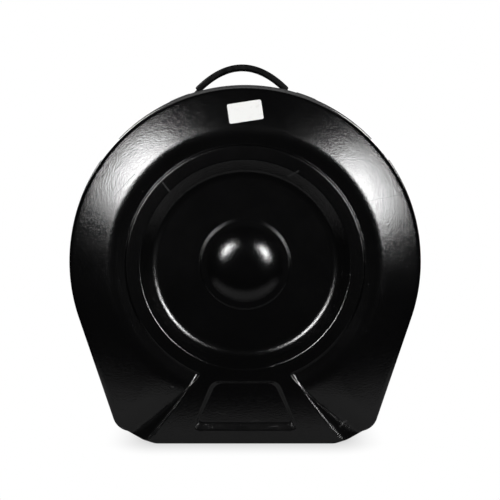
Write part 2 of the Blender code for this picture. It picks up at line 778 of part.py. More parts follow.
def latch_pin(name, hand, material):
    half = LEVER_HALF_WIDTH + LATCH_PIN_OVERHANG
    pin = rod((-half, 0, 0), (half, 0, 0), LATCH_PIN_RADIUS)
    return finish_object(name, pin, material, lever_frame(hand))


def lever_profile():
    """Side view of the lever about its pivot: round nose, skirt, flat top and raised finger tab."""
    under = LEVER_TOP - LEVER_SHEET
    nose = arc_points((0, 0), LEVER_NOSE_RADIUS, math.pi / 2, 3 * math.pi / 2, 6)
    tip = LEVER_LENGTH + LEVER_TAB_LENGTH
    skirt = [
        Vector((LEVER_NOSE_RADIUS, -LEVER_SKIRT_DROP)),
        Vector((LEVER_SKIRT_LENGTH, -LEVER_SKIRT_DROP)),
        Vector((LEVER_LENGTH - LEVER_TAB_LENGTH, under)),
        Vector((LEVER_LENGTH, under)),
    ]
    tab = [
        Vector((tip, under + LEVER_TAB_RISE)),
        Vector((tip, LEVER_TOP + LEVER_TAB_RISE)),
        Vector((LEVER_LENGTH, LEVER_TOP)),
    ]
    return nose + skirt + tab


def latch_lever(name, hand, material):
    half = LEVER_HALF_WIDTH
    inner = half - LEVER_SHEET
    lever = finish_object(name, extruded(lever_profile(), -half, half, 0))
    hollow_end = LEVER_LENGTH - LEVER_TAB_LENGTH - LEVER_SHEET
    hollow = box((-inner, -OVERRUN, -OVERRUN), (inner, hollow_end, LEVER_TOP - LEVER_SHEET))
    combine(lever, finish_object("hollow", hollow), 'DIFFERENCE')
    window = box((-inner, -OVERRUN, -OVERRUN), (inner, LEVER_WINDOW_END, OVERRUN))
    combine(lever, finish_object("window", window), 'DIFFERENCE')
    pin_bore = rod((-half - OVERRUN, 0, 0), (half + OVERRUN, 0, 0), LATCH_PIN_RADIUS + SEAT_GAP)
    combine(lever, finish_object("bore", pin_bore), 'DIFFERENCE')
    start = Vector((-half - OVERRUN, BAIL_PIVOT_DISTANCE, -BAIL_PIVOT_DROP))
    end = Vector((half + OVERRUN, BAIL_PIVOT_DISTANCE, -BAIL_PIVOT_DROP))
    combine(lever, finish_object("bore", rod(start, end, BAIL_WIRE_RADIUS + SEAT_GAP)), 'DIFFERENCE')
    lever.matrix_world = lever_frame(hand)
    set_material(lever, material)
    return lever


def bail_length():
    """From the bail's pivot to its cross bar, which hooks behind the keeper's lip."""
    keeper_back = KEEPER_DISTANCE + KEEPER_LIP_THICKNESS + KEEPER_SLACK + BAIL_WIRE_RADIUS
    return LATCH_PIVOT_DISTANCE + BAIL_PIVOT_DISTANCE + keeper_back


def bail_route():
    """Half of the bent wire: trunnion, bend, leg, bend and the middle of the cross bar."""
    leg_x = LEVER_HALF_WIDTH + BAIL_LEG_GAP + BAIL_WIRE_RADIUS
    small = BAIL_ELBOW_RADIUS
    large = BAIL_BEND_RADIUS
    far = -bail_length()
    route = [Vector((leg_x - BAIL_TRUNNION_LENGTH, 0))]
    route += arc_points((leg_x - small, -small), small, math.pi / 2, 0, BEND_STEPS)
    route += arc_points((leg_x - large, far + large), large, 0, -math.pi / 2, BEND_STEPS)
    return route


def latch_bail(name, hand, material):
    half = bail_route()
    points = half + [Vector((-p.x, p.y)) for p in reversed(half)]
    curve = bpy.data.curves.new(name, 'CURVE')
    curve.dimensions = '3D'
    curve.bevel_depth = BAIL_WIRE_RADIUS
    curve.bevel_resolution = 2
    curve.use_fill_caps = True
    spline = curve.splines.new('POLY')
    spline.points.add(len(points) - 1)
    for slot, point in zip(spline.points, points):
        slot.co = (point.x, point.y, 0, 1)
    curve.materials.append(material)
    bail = bpy.data.objects.new(name, curve)
    bpy.context.scene.collection.objects.link(bail)
    bail.matrix_world = bail_frame(hand)
    return bail


def latch_keeper(name, hand, material):
    low = plate_floor()
    top = low + LATCH_PLATE_THICKNESS
    half = LATCH_PLATE_HALF_WIDTH
    back = -KEEPER_DISTANCE + KEEPER_PLATE_LENGTH / 2
    plate = box((-half, back - KEEPER_PLATE_LENGTH, low), (half, back, top))
    keeper = finish_object(name, plate, place=latch_frame(hand))
    lip_low = (-KEEPER_LIP_HALF_WIDTH, -KEEPER_DISTANCE - KEEPER_LIP_THICKNESS, (low + top) / 2)
    lip_high = (KEEPER_LIP_HALF_WIDTH, -KEEPER_DISTANCE, top + KEEPER_LIP_HEIGHT)
    combine(keeper, finish_object("lip", box(lip_low, lip_high), place=latch_frame(hand)), 'UNION')
    set_material(keeper, material)
    return keeper


def make_latches(materials):
    dark = materials["latch"]
    for hand, word in ((-1, "left"), (1, "right")):
        latch_base("latch_base_" + word, hand, dark)
        latch_pin("latch_pin_" + word, hand, materials["steel"])
        latch_lever("latch_lever_" + word, hand, dark)
        latch_bail("latch_bail_" + word, hand, materials["steel"])
        latch_keeper("latch_keeper_" + word, hand, dark)


# Strap handle

def seat_radius(y):
    """Radius of the back shell's wall at a place in its depth, seen from the case's axis."""
    return CASE_RADIUS - wall_inset(y - PARTING_Y) + SEAT_GAP


def rim_angle(x):
    return math.acos(x / (CASE_RADIUS - BEAD_STEP))


def rim_direction(x):
    angle = rim_angle(x)
    return Vector((math.cos(angle), 0, math.sin(angle)))


def cap_x(hand, distance):
    """Place across the case, at a distance along a cap from its mouth."""
    return HANDLE_X + hand * (CAP_START + distance)


def arc_plate(inner_x, outer_x, low, high, half_width, steps):
    """Plate that follows the shell's wall between two places, from one height above it to another."""
    rings = []
    for i in range(steps + 1):
        direction = rim_direction(inner_x + (outer_x - inner_x) * i / steps)
        ring = []
        for y, height in ((-half_width, low), (half_width, low), (half_width, high), (-half_width, high)):
            reach = seat_radius(HANDLE_Y + y) + height
            ring.append(Vector((0, HANDLE_Y + y, CASE_CENTRE_HEIGHT)) + direction * reach)
        rings.append(ring)
    return loft(rings)


def is_cap_rim(edge):
    """True for the sharp edges of a cap that lie away from the shell."""
    middle = (edge.verts[0].co + edge.verts[1].co) / 2
    reach = math.hypot(middle.x, middle.z - CASE_CENTRE_HEIGHT)
    far = reach > seat_radius(middle.y) + CAP_THICKNESS / 2
    return far and edge.calc_face_angle(0) > math.radians(60)


def handle_cap(name, hand, material):
    plate = arc_plate(cap_x(hand, 0), cap_x(hand, CAP_LENGTH), 0, CAP_THICKNESS, CAP_WIDTH / 2, 4)
    bmesh.ops.recalc_face_normals(plate, faces=plate.faces)
    rim = [edge for edge in plate.edges if is_cap_rim(edge)]
    bmesh.ops.bevel(plate, geom=rim, offset=CAP_EDGE_BEVEL, segments=2, profile=0.5, affect='EDGES')
    cap = finish_object(name, plate)
    slot_top = STRAP_THICKNESS + STRAP_WIDTH * math.tan(DRAFT) + 2 * SEAT_GAP
    slot_half = STRAP_WIDTH / 2 + 2 * SEAT_GAP
    slot = arc_plate(cap_x(hand, -OVERRUN), cap_x(hand, CAP_SLOT_LENGTH), -WALL, slot_top, slot_half, 4)
    combine(cap, finish_object("slot", slot), 'DIFFERENCE')
    set_material(cap, material)
    return cap


def cap_rivet(name, hand, distance, material):
    direction = rim_direction(cap_x(hand, distance))
    reach = seat_radius(HANDLE_Y) + CAP_THICKNESS + SEAT_GAP
    centre = Vector((0, HANDLE_Y, CASE_CENTRE_HEIGHT)) + direction * reach
    normal = direction + Vector((0, math.tan(DRAFT), 0))
    head = screw_head(CAP_RIVET_RADIUS, CAP_RIVET_HEIGHT)
    return finish_object(name, head, material, seat_frame(centre, normal))


def grip_apex():
    return CASE_CENTRE_HEIGHT + CASE_RADIUS + GRIP_APEX_ABOVE_CASE


def grip_point(share):
    """Centre of the grip at a share from -1 (left end) to 1 (right end)."""
    x = HANDLE_X + GRIP_SHIFT + GRIP_HALF_SPAN * share
    return Vector((x, grip_apex() - GRIP_RISE * share ** 2))


def strap_spot(hand, distance):
    """Middle of the strap in a cap; its front edge lies on the drafted wall."""
    reach = seat_radius(HANDLE_Y - STRAP_WIDTH / 2) + STRAP_THICKNESS / 2
    direction = rim_direction(cap_x(hand, distance))
    return Vector((direction.x * reach, CASE_CENTRE_HEIGHT + direction.z * reach))


def strap_tail(hand):
    """Strap from inside the cap up to the end of the grip."""
    inside = [strap_spot(hand, STRAP_TUCK * (3 - i) / 3) for i in range(4)]
    mouth = inside[-1]
    grip_end = grip_point(hand)
    slope = grip_end - grip_point(hand * (1 - 1 / GRIP_STEPS))
    meeting = line_meeting(mouth, mouth - inside[-2], grip_end, slope)
    return inside + bent(mouth, meeting, grip_end, 4)


def line_meeting(first, first_way, second, second_way):
    cross = first_way.x * second_way.y - first_way.y * second_way.x
    gap = second - first
    return first + first_way * ((gap.x * second_way.y - gap.y * second_way.x) / cross)


def swept(route, section):
    """Sweep a section of (across, out) pairs along a route in the X-Z plane."""
    rings = []
    for i, point in enumerate(route):
        before = route[max(i - 1, 0)]
        after = route[min(i + 1, len(route) - 1)]
        way = (after - before).normalized()
        out = Vector((-way.y, way.x))
        ring = []
        for across, height in section:
            spot = point + out * height
            ring.append(Vector((spot.x, HANDLE_Y + across, spot.y)))
        rings.append(ring)
    return loft(rings)


def handle_strap(name, material):
    middle = [grip_point(-1 + 2 * i / GRIP_STEPS) for i in range(1, GRIP_STEPS)]
    left = strap_tail(-1)
    right = list(reversed(strap_tail(1)))
    half_width, half_thickness = STRAP_WIDTH / 2, STRAP_THICKNESS / 2
    section = [
        (-half_width, -half_thickness),
        (half_width, -half_thickness),
        (half_width, half_thickness),
        (-half_width, half_thickness),
    ]
    return finish_object(name, swept(left + middle + right, section), material)


def handle_grip(name, material):
    route = [grip_point(-1 + 2 * i / GRIP_STEPS) for i in range(GRIP_STEPS + 1)]
    half_width, half_thickness = GRIP_WIDTH / 2, GRIP_THICKNESS / 2
    corners = [
        Vector((-half_width, -half_thickness)),
        Vector((half_width, -half_thickness)),
        Vector((half_width, half_thickness)),
        Vector((-half_width, half_thickness)),
    ]
    section = []
    for i, corner in enumerate(corners):
        section += corner_curve(corners[i - 1], corner, corners[(i + 1) % 4], GRIP_CORNER_RADIUS, 2)
    grip = finish_object(name, swept(route, section))
    half_slot = STRAP_WIDTH / 2 + SEAT_GAP
    slot_section = [
        (-half_slot, -STRAP_THICKNESS / 2 - SEAT_GAP),
        (half_slot, -STRAP_THICKNESS / 2 - SEAT_GAP),
        (half_slot, STRAP_THICKNESS / 2 + SEAT_GAP),
        (-half_slot, STRAP_THICKNESS / 2 + SEAT_GAP),
    ]
    before = route[0] * 2 - route[1]
    after = route[-1] * 2 - route[-2]
    slot_route = [before] + route + [after]
    combine(grip, finish_object("slot", swept(slot_route, slot_section)), 'DIFFERENCE')
    set_material(grip, material)
    return grip


def make_handle(materials):
    for hand, word in ((-1, "left"), (1, "right")):
        handle_cap("handle_cap_" + word, hand, materials["steel"])
        for place, spot in ((CAP_RIVET_MARGIN, "inner"), (CAP_LENGTH - CAP_RIVET_MARGIN, "outer")):
            cap_rivet("handle_rivet_%s_%s" % (word, spot), hand, place, materials["steel"])
    handle_strap("handle_strap", materials["latch"])
    handle_grip("handle_grip", materials["grip"])


# Post, hold-down and foam inside

def axis_frame(y):
    """Local Z points to the front along the case's axis; origin on the axis at y."""
    turn = Matrix.Rotation(math.pi / 2, 4, 'X')
    return Matrix.Translation((0, y, CASE_CENTRE_HEIGHT)) @ turn


def bell_seat_y():
    """Inner face of the back bell's flat."""
    return PARTING_Y + BACK_DEPTH - BELL_SINK - WALL


def ring_stations(inner, outer, low, high):
    return [(inner, low), (outer, low), (outer, high), (inner, high)]


def centre_post(name, material):
    seat = bell_seat_y() - SEAT_GAP
    length = seat - POST_FRONT_Y
    stations = [
        (FLANGE_RADIUS, 0),
        (FLANGE_RADIUS, FLANGE_THICKNESS),
        (POST_RADIUS, FLANGE_THICKNESS),
        (POST_RADIUS, length - POST_TIP_CHAMFER),
        (POST_RADIUS - POST_TIP_CHAMFER, length),
    ]
    return finish_object(name, turned(stations, TURN_STEPS), material, axis_frame(seat))


def flange_screw(name, index, material):
    angle = math.tau * (index + 1 / 2) / FLANGE_SCREW_COUNT
    x = FLANGE_SCREW_CIRCLE * math.cos(angle)
    z = CASE_CENTRE_HEIGHT + FLANGE_SCREW_CIRCLE * math.sin(angle)
    head = screw_head(FLANGE_SCREW_RADIUS, FLANGE_SCREW_HEIGHT)
    return finish_object(name, head, material, seat_frame((x, flange_seat_y(), z), (0, -1, 0)))


def flange_seat_y():
    """Where the felt and the screw heads stand on the post's flange."""
    return bell_seat_y() - FLANGE_THICKNESS - 2 * SEAT_GAP


def post_ring(name, inner, outer, back_y, thickness, material, steps=TURN_STEPS):
    bm = turned(ring_stations(inner, outer, 0, thickness), steps, closed=True)
    return finish_object(name, bm, material, axis_frame(back_y))


def wing_profile(sign):
    """One wing seen from the side, as (across, along) pairs."""
    root = NUT_HUB_RADIUS * NUT_WING_ROOT_SHARE
    reach = NUT_HUB_LENGTH + NUT_WING_REACH / 2
    points = [
        (root, NUT_HUB_LENGTH / 4),
        (NUT_HUB_RADIUS, NUT_HUB_LENGTH / 4),
        (NUT_WING_SPAN, NUT_HUB_LENGTH * 3 / 4),
        (NUT_WING_SPAN, reach),
        (NUT_WING_SPAN * 3 / 4, reach),
        (NUT_HUB_RADIUS, NUT_HUB_LENGTH - NUT_HUB_TAPER),
        (root, NUT_HUB_LENGTH - NUT_HUB_TAPER),
    ]
    return [(sign * across, along) for across, along in points]


def wing_nut(name, back_y, material):
    stations = [
        (NUT_HUB_RADIUS, 0),
        (NUT_HUB_RADIUS, NUT_HUB_LENGTH / 2),
        (NUT_HUB_RADIUS - NUT_HUB_TAPER, NUT_HUB_LENGTH),
    ]
    nut = finish_object(name, turned(stations, TURN_STEPS))
    half = NUT_WING_THICKNESS / 2
    for sign in (-1, 1):
        rings = [[Vector((u, side * half, v)) for u, v in wing_profile(sign)] for side in (-1, 1)]
        combine(nut, finish_object("wing", loft(rings)), 'UNION')
    bore = rod((0, 0, -OVERRUN), (0, 0, NUT_HUB_LENGTH + OVERRUN), POST_RADIUS + SEAT_GAP, TURN_STEPS)
    combine(nut, finish_object("bore", bore), 'DIFFERENCE')
    nut.matrix_world = axis_frame(back_y)
    set_material(nut, material)
    return nut


def foam_ring(name, side, material):
    floor = shell_depth(side) - DISH_DEPTH - WALL - SEAT_GAP
    y = PARTING_Y + side * floor
    back_y = y if side == BACK else y + FOAM_THICKNESS
    inner, outer = FOAM_INNER_RADIUS, FOAM_OUTER_RADIUS
    return post_ring(name, inner, outer, back_y, FOAM_THICKNESS, material, FOAM_STEPS)


def make_inside(materials):
    centre_post("centre_post", materials["steel"])
    for index in range(FLANGE_SCREW_COUNT):
        flange_screw("flange_screw_%d" % (index + 1), index, materials["steel"])
    bore = POST_RADIUS + SEAT_GAP
    sleeve_outer = bore + SLEEVE_WALL
    seat_back = flange_seat_y()
    seat_front = seat_back - FELT_THICKNESS
    post_ring("seat_felt", bore, FELT_RADIUS, seat_back, FELT_THICKNESS, materials["felt"])
    sleeve_back = seat_front - SEAT_GAP
    sleeve_length = sleeve_back - SLEEVE_FRONT_Y
    post_ring("post_sleeve", bore, sleeve_outer, sleeve_back, sleeve_length, materials["sleeve"])
    post_ring("hold_down_felt", bore, FELT_RADIUS, HOLD_DOWN_Y, FELT_THICKNESS, materials["felt"])
    washer_back = HOLD_DOWN_Y - FELT_THICKNESS - SEAT_GAP
    post_ring("cup_washer", bore, CUP_WASHER_RADIUS, washer_back, CUP_WASHER_THICKNESS, materials["steel"])
    wing_nut("wing_nut", washer_back - CUP_WASHER_THICKNESS - SEAT_GAP, materials["steel"])
    foam_ring("foam_ring_back", BACK, materials["foam"])
    foam_ring("foam_ring_front", FRONT, materials["foam"])


def main():
    clear_scene()
    materials = make_materials()
    make_shell("back_shell", BACK, materials["shell"])
    make_shell("front_shell", FRONT, materials["shell"])
    make_hinges(materials)
    make_latches(materials)
    make_handle(materials)
    make_inside(materials)


main()
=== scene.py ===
"""Looks of the round hard case for cymbals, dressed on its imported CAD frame.

X runs to the right, Y to the back and Z up, in metres. The front faces -Y, and the case stands on Z = 0.
"""
import json
import math

import bmesh
import bpy
from mathutils import Matrix, Vector

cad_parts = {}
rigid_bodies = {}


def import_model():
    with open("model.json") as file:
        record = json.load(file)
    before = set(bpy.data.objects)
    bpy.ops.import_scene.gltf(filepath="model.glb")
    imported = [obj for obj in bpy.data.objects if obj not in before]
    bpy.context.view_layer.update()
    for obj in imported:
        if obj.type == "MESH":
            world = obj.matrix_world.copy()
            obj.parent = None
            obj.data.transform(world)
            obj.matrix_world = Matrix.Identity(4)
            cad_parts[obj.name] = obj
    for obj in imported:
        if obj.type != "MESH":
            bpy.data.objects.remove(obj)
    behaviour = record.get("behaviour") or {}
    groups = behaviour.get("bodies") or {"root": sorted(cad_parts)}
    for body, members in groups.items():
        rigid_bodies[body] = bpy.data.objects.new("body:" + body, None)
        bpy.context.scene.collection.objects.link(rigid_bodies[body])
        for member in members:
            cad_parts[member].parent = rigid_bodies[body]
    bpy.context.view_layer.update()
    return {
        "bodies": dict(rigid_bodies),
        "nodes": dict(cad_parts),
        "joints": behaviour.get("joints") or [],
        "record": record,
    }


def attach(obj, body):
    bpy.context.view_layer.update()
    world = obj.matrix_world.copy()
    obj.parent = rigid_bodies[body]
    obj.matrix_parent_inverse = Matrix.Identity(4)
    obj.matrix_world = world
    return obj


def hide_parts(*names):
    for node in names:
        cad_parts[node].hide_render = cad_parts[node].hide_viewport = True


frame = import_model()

# Camera. It stands a little above the middle of the case, at the distance of a product photograph,
# so the flat foot and the round face keep their true outline.
CAMERA_TARGET = Vector((0.0085, -0.055, 0.337))
CAMERA_DISTANCE = 1.72
CAMERA_RISE = math.radians(5.0)
CAMERA_LENS = 71.7

camera_data = bpy.data.cameras.new("camera")
camera_data.lens = CAMERA_LENS
camera_data.sensor_width = 36.0
camera = bpy.data.objects.new("camera", camera_data)
bpy.context.scene.collection.objects.link(camera)
camera_way = Vector((0, -math.cos(CAMERA_RISE), math.sin(CAMERA_RISE)))
camera.location = CAMERA_TARGET + camera_way * CAMERA_DISTANCE
camera.rotation_euler = (-camera_way).to_track_quat('-Z', 'Y').to_euler()
bpy.context.scene.camera = camera
bpy.context.scene.view_settings.view_transform = 'Standard'


# Studio. A softbox stands up to each side in front of the case and a weaker one to each side behind it,
# over a pale floor that fades into a white backdrop and is painted greyer round the case's foot as a painted
# contact shade. The studio on the camera's side is dark.
LIGHT_AIM = (0, 0, 0.35)
FRONT_SIZE, FRONT_POWER = (0.70, 0.40), 34
BACK_SIZE, BACK_POWER = (0.8, 0.8), 14
TOP_SIZE, TOP_POWER = (2.4, 0.8), 6
WORLD_STRENGTH = 0.01
MIRRORED_BACKDROP = 0.4
WHITE = (1, 1, 1, 1)
FLOOR_REACH = (0.50, 0.27)
FLOOR_GREY = (0.30, 0.30, 0.30, 1)
FOOTPRINT = (0.15, 0.05, 0)
SHADOW_REACH = 0.10
SHADOW_SHARE = 0.40


def soft_light(name, place, aim, along, size, power):
    """Softbox at a place, aimed at a spot, with its first side along a direction."""
    data = bpy.data.lights.new(name, 'AREA')
    data.shape = 'RECTANGLE'
    data.size, data.size_y = size
    data.energy = power
    light = bpy.data.objects.new(name, data)
    bpy.context.scene.collection.objects.link(light)
    back = (Vector(place) - Vector(aim)).normalized()
    up = back.cross(Vector(along)).normalized()
    light.rotation_euler = Matrix((up.cross(back), up, back)).transposed().to_euler()
    light.location = place
    light.visible_camera = False


soft_light("softbox_left", (-1.05, -1.75, 1.03), LIGHT_AIM, (0.47, 0, 0.62), FRONT_SIZE, FRONT_POWER)
soft_light("softbox_right", (1.15, -1.75, 0.87), LIGHT_AIM, (-0.44, 0, 0.70), FRONT_SIZE, FRONT_POWER)
for light_x, light_word in ((-1.2, "left"), (1.2, "right")):
    soft_light("softbox_back_" + light_word, (light_x, 1.70, 1.30), LIGHT_AIM, (1, 0, 0), BACK_SIZE, BACK_POWER)
soft_light("softbox_top", (0, 0.3, 2.1), (0, 0.1, 0), (1, 0, 0), TOP_SIZE, TOP_POWER)


def feed(tree, node, sockets):
    """Link or set a node's input sockets, each given by its name or number."""
    for key, value in sockets.items():
        if isinstance(value, bpy.types.NodeSocket):
            tree.links.new(value, node.inputs[key])
        else:
            node.inputs[key].default_value = value


def add_node(tree, kind, sockets=None, **settings):
    """New node with its settings given and its sockets linked or set."""
    node = tree.nodes.new(kind)
    for key, value in settings.items():
        setattr(node, key, value)
    feed(tree, node, sockets or {})
    return node


def ramp_between(tree, source, low, high, start=0.0, end=1.0, shape='SMOOTHSTEP'):
    """Value that runs from start to end while the source runs between two limits."""
    sockets = {"Value": source, "From Min": low, "From Max": high, "To Min": start, "To Max": end}
    return add_node(tree, "ShaderNodeMapRange", sockets, interpolation_type=shape).outputs[0]


def join_math(tree, operation, *values, clamp=False):
    """Math on values, each a socket or a number."""
    return add_node(tree, "ShaderNodeMath", dict(enumerate(values)), operation=operation,
                    use_clamp=clamp).outputs[0]


def join_vectors(tree, operation, *values, result="Vector"):
    """Vector math on values, each a socket or a vector."""
    return add_node(tree, "ShaderNodeVectorMath", dict(enumerate(values)), operation=operation).outputs[result]


def seeing_rays(tree, behind):
    """1 for rays from the camera or through glass, and a mirror's rays by how far they lead behind."""
    ray = add_node(tree, "ShaderNodeLightPath").outputs
    mirrored = join_math(tree, 'MULTIPLY', ray["Is Glossy Ray"], behind)
    direct = join_math(tree, 'ADD', ray["Is Camera Ray"], ray["Is Transmission Ray"])
    return join_math(tree, 'ADD', direct, mirrored, clamp=True)


def material_base(name):
    """New node material; gives it, its node tree, its shader and the place on the piece."""
    material = bpy.data.materials.new(name)
    material.use_nodes = True
    tree = material.node_tree
    return material, tree, tree.nodes["Principled BSDF"], add_node(tree, "ShaderNodeTexCoord").outputs["Object"]


world = bpy.data.worlds.new("studio")
bpy.context.scene.world = world
world.use_nodes = True
tree = world.node_tree
studio_light = tree.nodes["Background"]
feed(tree, studio_light, {"Color": WHITE, "Strength": WORLD_STRENGTH})
backdrop = add_node(tree, "ShaderNodeBackground", {"Color": WHITE, "Strength": 1.0})
ray_way = add_node(tree, "ShaderNodeSeparateXYZ", {0: add_node(tree, "ShaderNodeTexCoord").outputs["Generated"]})
behind = join_math(tree, 'MULTIPLY', ramp_between(tree, ray_way.outputs["Y"], 0.25, 0.75),
                   ramp_between(tree, ray_way.outputs["Z"], 0.22, 0.50, 0.0, MIRRORED_BACKDROP))
sky = add_node(tree, "ShaderNodeMixShader",
               {0: seeing_rays(tree, behind), 1: studio_light.outputs[0], 2: backdrop.outputs[0]})
feed(tree, tree.nodes["World Output"], {"Surface": sky.outputs[0]})

floor_bm = bmesh.new()
bmesh.ops.create_grid(floor_bm, x_segments=2, y_segments=2, size=1.0)
bmesh.ops.scale(floor_bm, vec=(*FLOOR_REACH, 1), verts=floor_bm.verts)
floor_mesh = bpy.data.meshes.new("floor")
floor_bm.to_mesh(floor_mesh)
floor_bm.free()
floor = bpy.data.objects.new("floor", floor_mesh)
bpy.context.scene.collection.objects.link(floor)
floor_paper, tree, shader, place = material_base("floor_paper")
feed(tree, shader, {"Base Color": FLOOR_GREY, "Roughness": 0.9, "Specular IOR Level": 0.1})
# Painted contact shade: towards the case's footprint less white is mixed in, so the floor is painted greyer there;
# the floor's real shadow also shows through.
away = join_vectors(tree, 'SUBTRACT', join_vectors(tree, 'ABSOLUTE', place), FOOTPRINT)
away = join_vectors(tree, 'LENGTH', join_vectors(tree, 'MAXIMUM', away, (0, 0, 0)), result="Value")
fade = ramp_between(tree, away, 0.0, SHADOW_REACH, 1 - SHADOW_SHARE, 1.0)
behind = ramp_between(tree, add_node(tree, "ShaderNodeSeparateXYZ", {0: place}).outputs["Y"], 0.10, 0.30)
fade = join_math(tree, 'MULTIPLY', fade, seeing_rays(tree, behind))
white = add_node(tree, "ShaderNodeEmission", {"Color": WHITE, "Strength": 1.0})
paper_mix = add_node(tree, "ShaderNodeMixShader", {0: fade, 1: shader.outputs[0], 2: white.outputs[0]})
feed(tree, tree.nodes["Material Output"], {"Surface": paper_mix.outputs[0]})
floor_mesh.materials.append(floor_paper)


# Black moulded plastic of both shells. High density polyethylene from a textured tool: a satin skin
# with fine grain, long shallow ripples, hairline scratches, dust and the scuffs of a used case.
PLASTIC_BLACK = (0.0012, 0.0012, 0.0013)
MARK_GREY = (0.05, 0.05, 0.05)
GRAIN_SCALE = 330.0
RIPPLE_SCALE = 26.0
SPECK_SCALE = 70.0
WOBBLE_SCALE = 160.0
WOBBLE_REACH = (0.003, 0, 0.003)
MARKED_FRONT = (-0.03, -0.02)

# Each scratch is x and z of its start, x and z of its end, its half width and its strength.
SCRATCHES = (
    (-0.1866, 0.5295, -0.1702, 0.5331, 0.0008, 0.5),
    (-0.1696, 0.5265, -0.1651, 0.5090, 0.0007, 0.5),
    (-0.2240, 0.4290, -0.1870, 0.4685, 0.0011, 0.45),
    (0.1915, 0.5290, 0.2075, 0.5348, 0.0008, 0.45),
    (0.2095, 0.4220, 0.2670, 0.4328, 0.0008, 0.4),
    (0.2700, 0.4245, 0.2810, 0.3785, 0.0008, 0.4),
    (0.2640, 0.4440, 0.2700, 0.4410, 0.0018, 0.5),
    (-0.1405, 0.4545, -0.1275, 0.4380, 0.0022, 0.35),
    (0.0730, 0.4640, 0.0905, 0.4730, 0.0020, 0.3),
    (0.1655, 0.0290, 0.1770, 0.0380, 0.0024, 0.35),
    (-0.1275, 0.1010, -0.1240, 0.1005, 0.0016, 0.5),
    (0.0095, 0.0385, 0.0235, 0.0415, 0.0007, 0.4),
    (0.0410, 0.0300, 0.0565, 0.0318, 0.0007, 0.35),
    (-0.0510, 0.0560, -0.0330, 0.0512, 0.0006, 0.3),
)


def noise(tree, place, scale, detail, roughness=0.5, distortion=0.0):
    """Cloudy value over a piece."""
    sockets = {"Vector": place, "Scale": scale, "Detail": detail, "Roughness": roughness, "Distortion": distortion}
    return add_node(tree, "ShaderNodeTexNoise", sockets).outputs["Fac"]


def two_tones(tree, share, first, second):
    """Colour between two tones, the first of them given as a tone or as a socket."""
    if not isinstance(first, bpy.types.NodeSocket):
        first = (*first, 1)
    return add_node(tree, "ShaderNodeMix", {"Factor": share, "A": first, "B": (*second, 1)},
                    data_type='RGBA').outputs["Result"]


def bumped(tree, height, strength, depth, under=None):
    """Surface direction of a bumpy skin, over another one where that is given."""
    sockets = {"Height": height, "Strength": strength, "Distance": depth}
    if under is not None:
        sockets["Normal"] = under
    return add_node(tree, "ShaderNodeBump", sockets).outputs[0]


def scratch_group():
    """Node group: how much of a straight scratch covers a point seen from the front or the back."""
    group = bpy.data.node_groups.new("scratch", 'ShaderNodeTree')
    for name, kind in (("Point", "Vector"), ("Start", "Vector"), ("Way", "Vector"), ("Length", "Float"),
                       ("Width", "Float")):
        group.interface.new_socket(name, in_out='INPUT', socket_type="NodeSocket" + kind)
    group.interface.new_socket("Cover", in_out='OUTPUT', socket_type='NodeSocketFloat')
    given = group.nodes.new("NodeGroupInput").outputs
    offset = join_vectors(group, 'SUBTRACT', given["Point"], given["Start"])
    along = join_vectors(group, 'DOT_PRODUCT', offset, given["Way"], result="Value")
    along = join_math(group, 'MAXIMUM', join_math(group, 'MINIMUM', along, given["Length"]), 0.0)
    foot = add_node(group, "ShaderNodeVectorMath", {0: given["Way"], 3: along}, operation='SCALE')
    gap = join_vectors(group, 'DISTANCE', offset, foot.outputs[0], result="Value")
    cover = join_math(group, 'SUBTRACT', 1.0, join_math(group, 'DIVIDE', gap, given["Width"]), clamp=True)
    group.links.new(cover, group.nodes.new("NodeGroupOutput").inputs["Cover"])
    return group


def moulded_plastic(name, marks):
    """Grainy black plastic with dust and the given scratches."""
    material, tree, shader, place = material_base(name)
    speck = add_node(tree, "ShaderNodeTexVoronoi", {"Vector": place, "Scale": SPECK_SCALE, "Randomness": 1.0})
    speck_share = ramp_between(tree, speck.outputs["Distance"], 0.035, 0.06, 1.0, 0.0, 'LINEAR')
    speck_rare = ramp_between(tree, speck.outputs["Color"], 0.80, 0.86, 0.0, 0.5, 'LINEAR')
    wear = join_math(tree, 'MULTIPLY', speck_share, speck_rare)

    wobble = add_node(tree, "ShaderNodeTexNoise", {"Vector": place, "Scale": WOBBLE_SCALE, "Detail": 3.0})
    shift = join_vectors(tree, 'SUBTRACT', wobble.outputs["Color"], (0.5, 0.5, 0.5))
    shift = join_vectors(tree, 'MULTIPLY', shift, WOBBLE_REACH)
    rough_place = join_vectors(tree, 'ADD', join_vectors(tree, 'MULTIPLY', place, (1, 0, 1)), shift)
    scratch = scratch_group()
    for x0, z0, x1, z1, half_width, strength in marks:
        way = Vector((x1 - x0, 0, z1 - z0))
        mark = add_node(tree, "ShaderNodeGroup", {}, node_tree=scratch)
        feed(tree, mark, {"Point": rough_place, "Start": (x0, 0, z0), "Way": way.normalized(),
                          "Length": way.length, "Width": half_width})
        wear = join_math(tree, 'MAXIMUM', wear, join_math(tree, 'MULTIPLY', mark.outputs[0], strength))
    depth = add_node(tree, "ShaderNodeSeparateXYZ", {0: place}).outputs["Y"]
    wear = join_math(tree, 'MULTIPLY', wear, ramp_between(tree, depth, *MARKED_FRONT, 1.0, 0.0, 'LINEAR'))

    gloss = ramp_between(tree, noise(tree, place, 9.0, 6.0, 0.62), 0.3, 0.7, 0.12, 0.18, 'LINEAR')
    grain = bumped(tree, noise(tree, place, GRAIN_SCALE, 3.0, 0.7), 0.38, 0.0008)
    feed(tree, shader, {
        "Base Color": two_tones(tree, wear, PLASTIC_BLACK, MARK_GREY),
        "Roughness": join_math(tree, 'MULTIPLY_ADD', wear, 0.3, gloss),
        "Normal": bumped(tree, noise(tree, place, RIPPLE_SCALE, 2.0), 0.12, 0.002, grain),
        "Specular IOR Level": 0.6,
    })
    return material


front_plastic = moulded_plastic("moulded_plastic", SCRATCHES)
back_plastic = moulded_plastic("moulded_plastic_back", ())


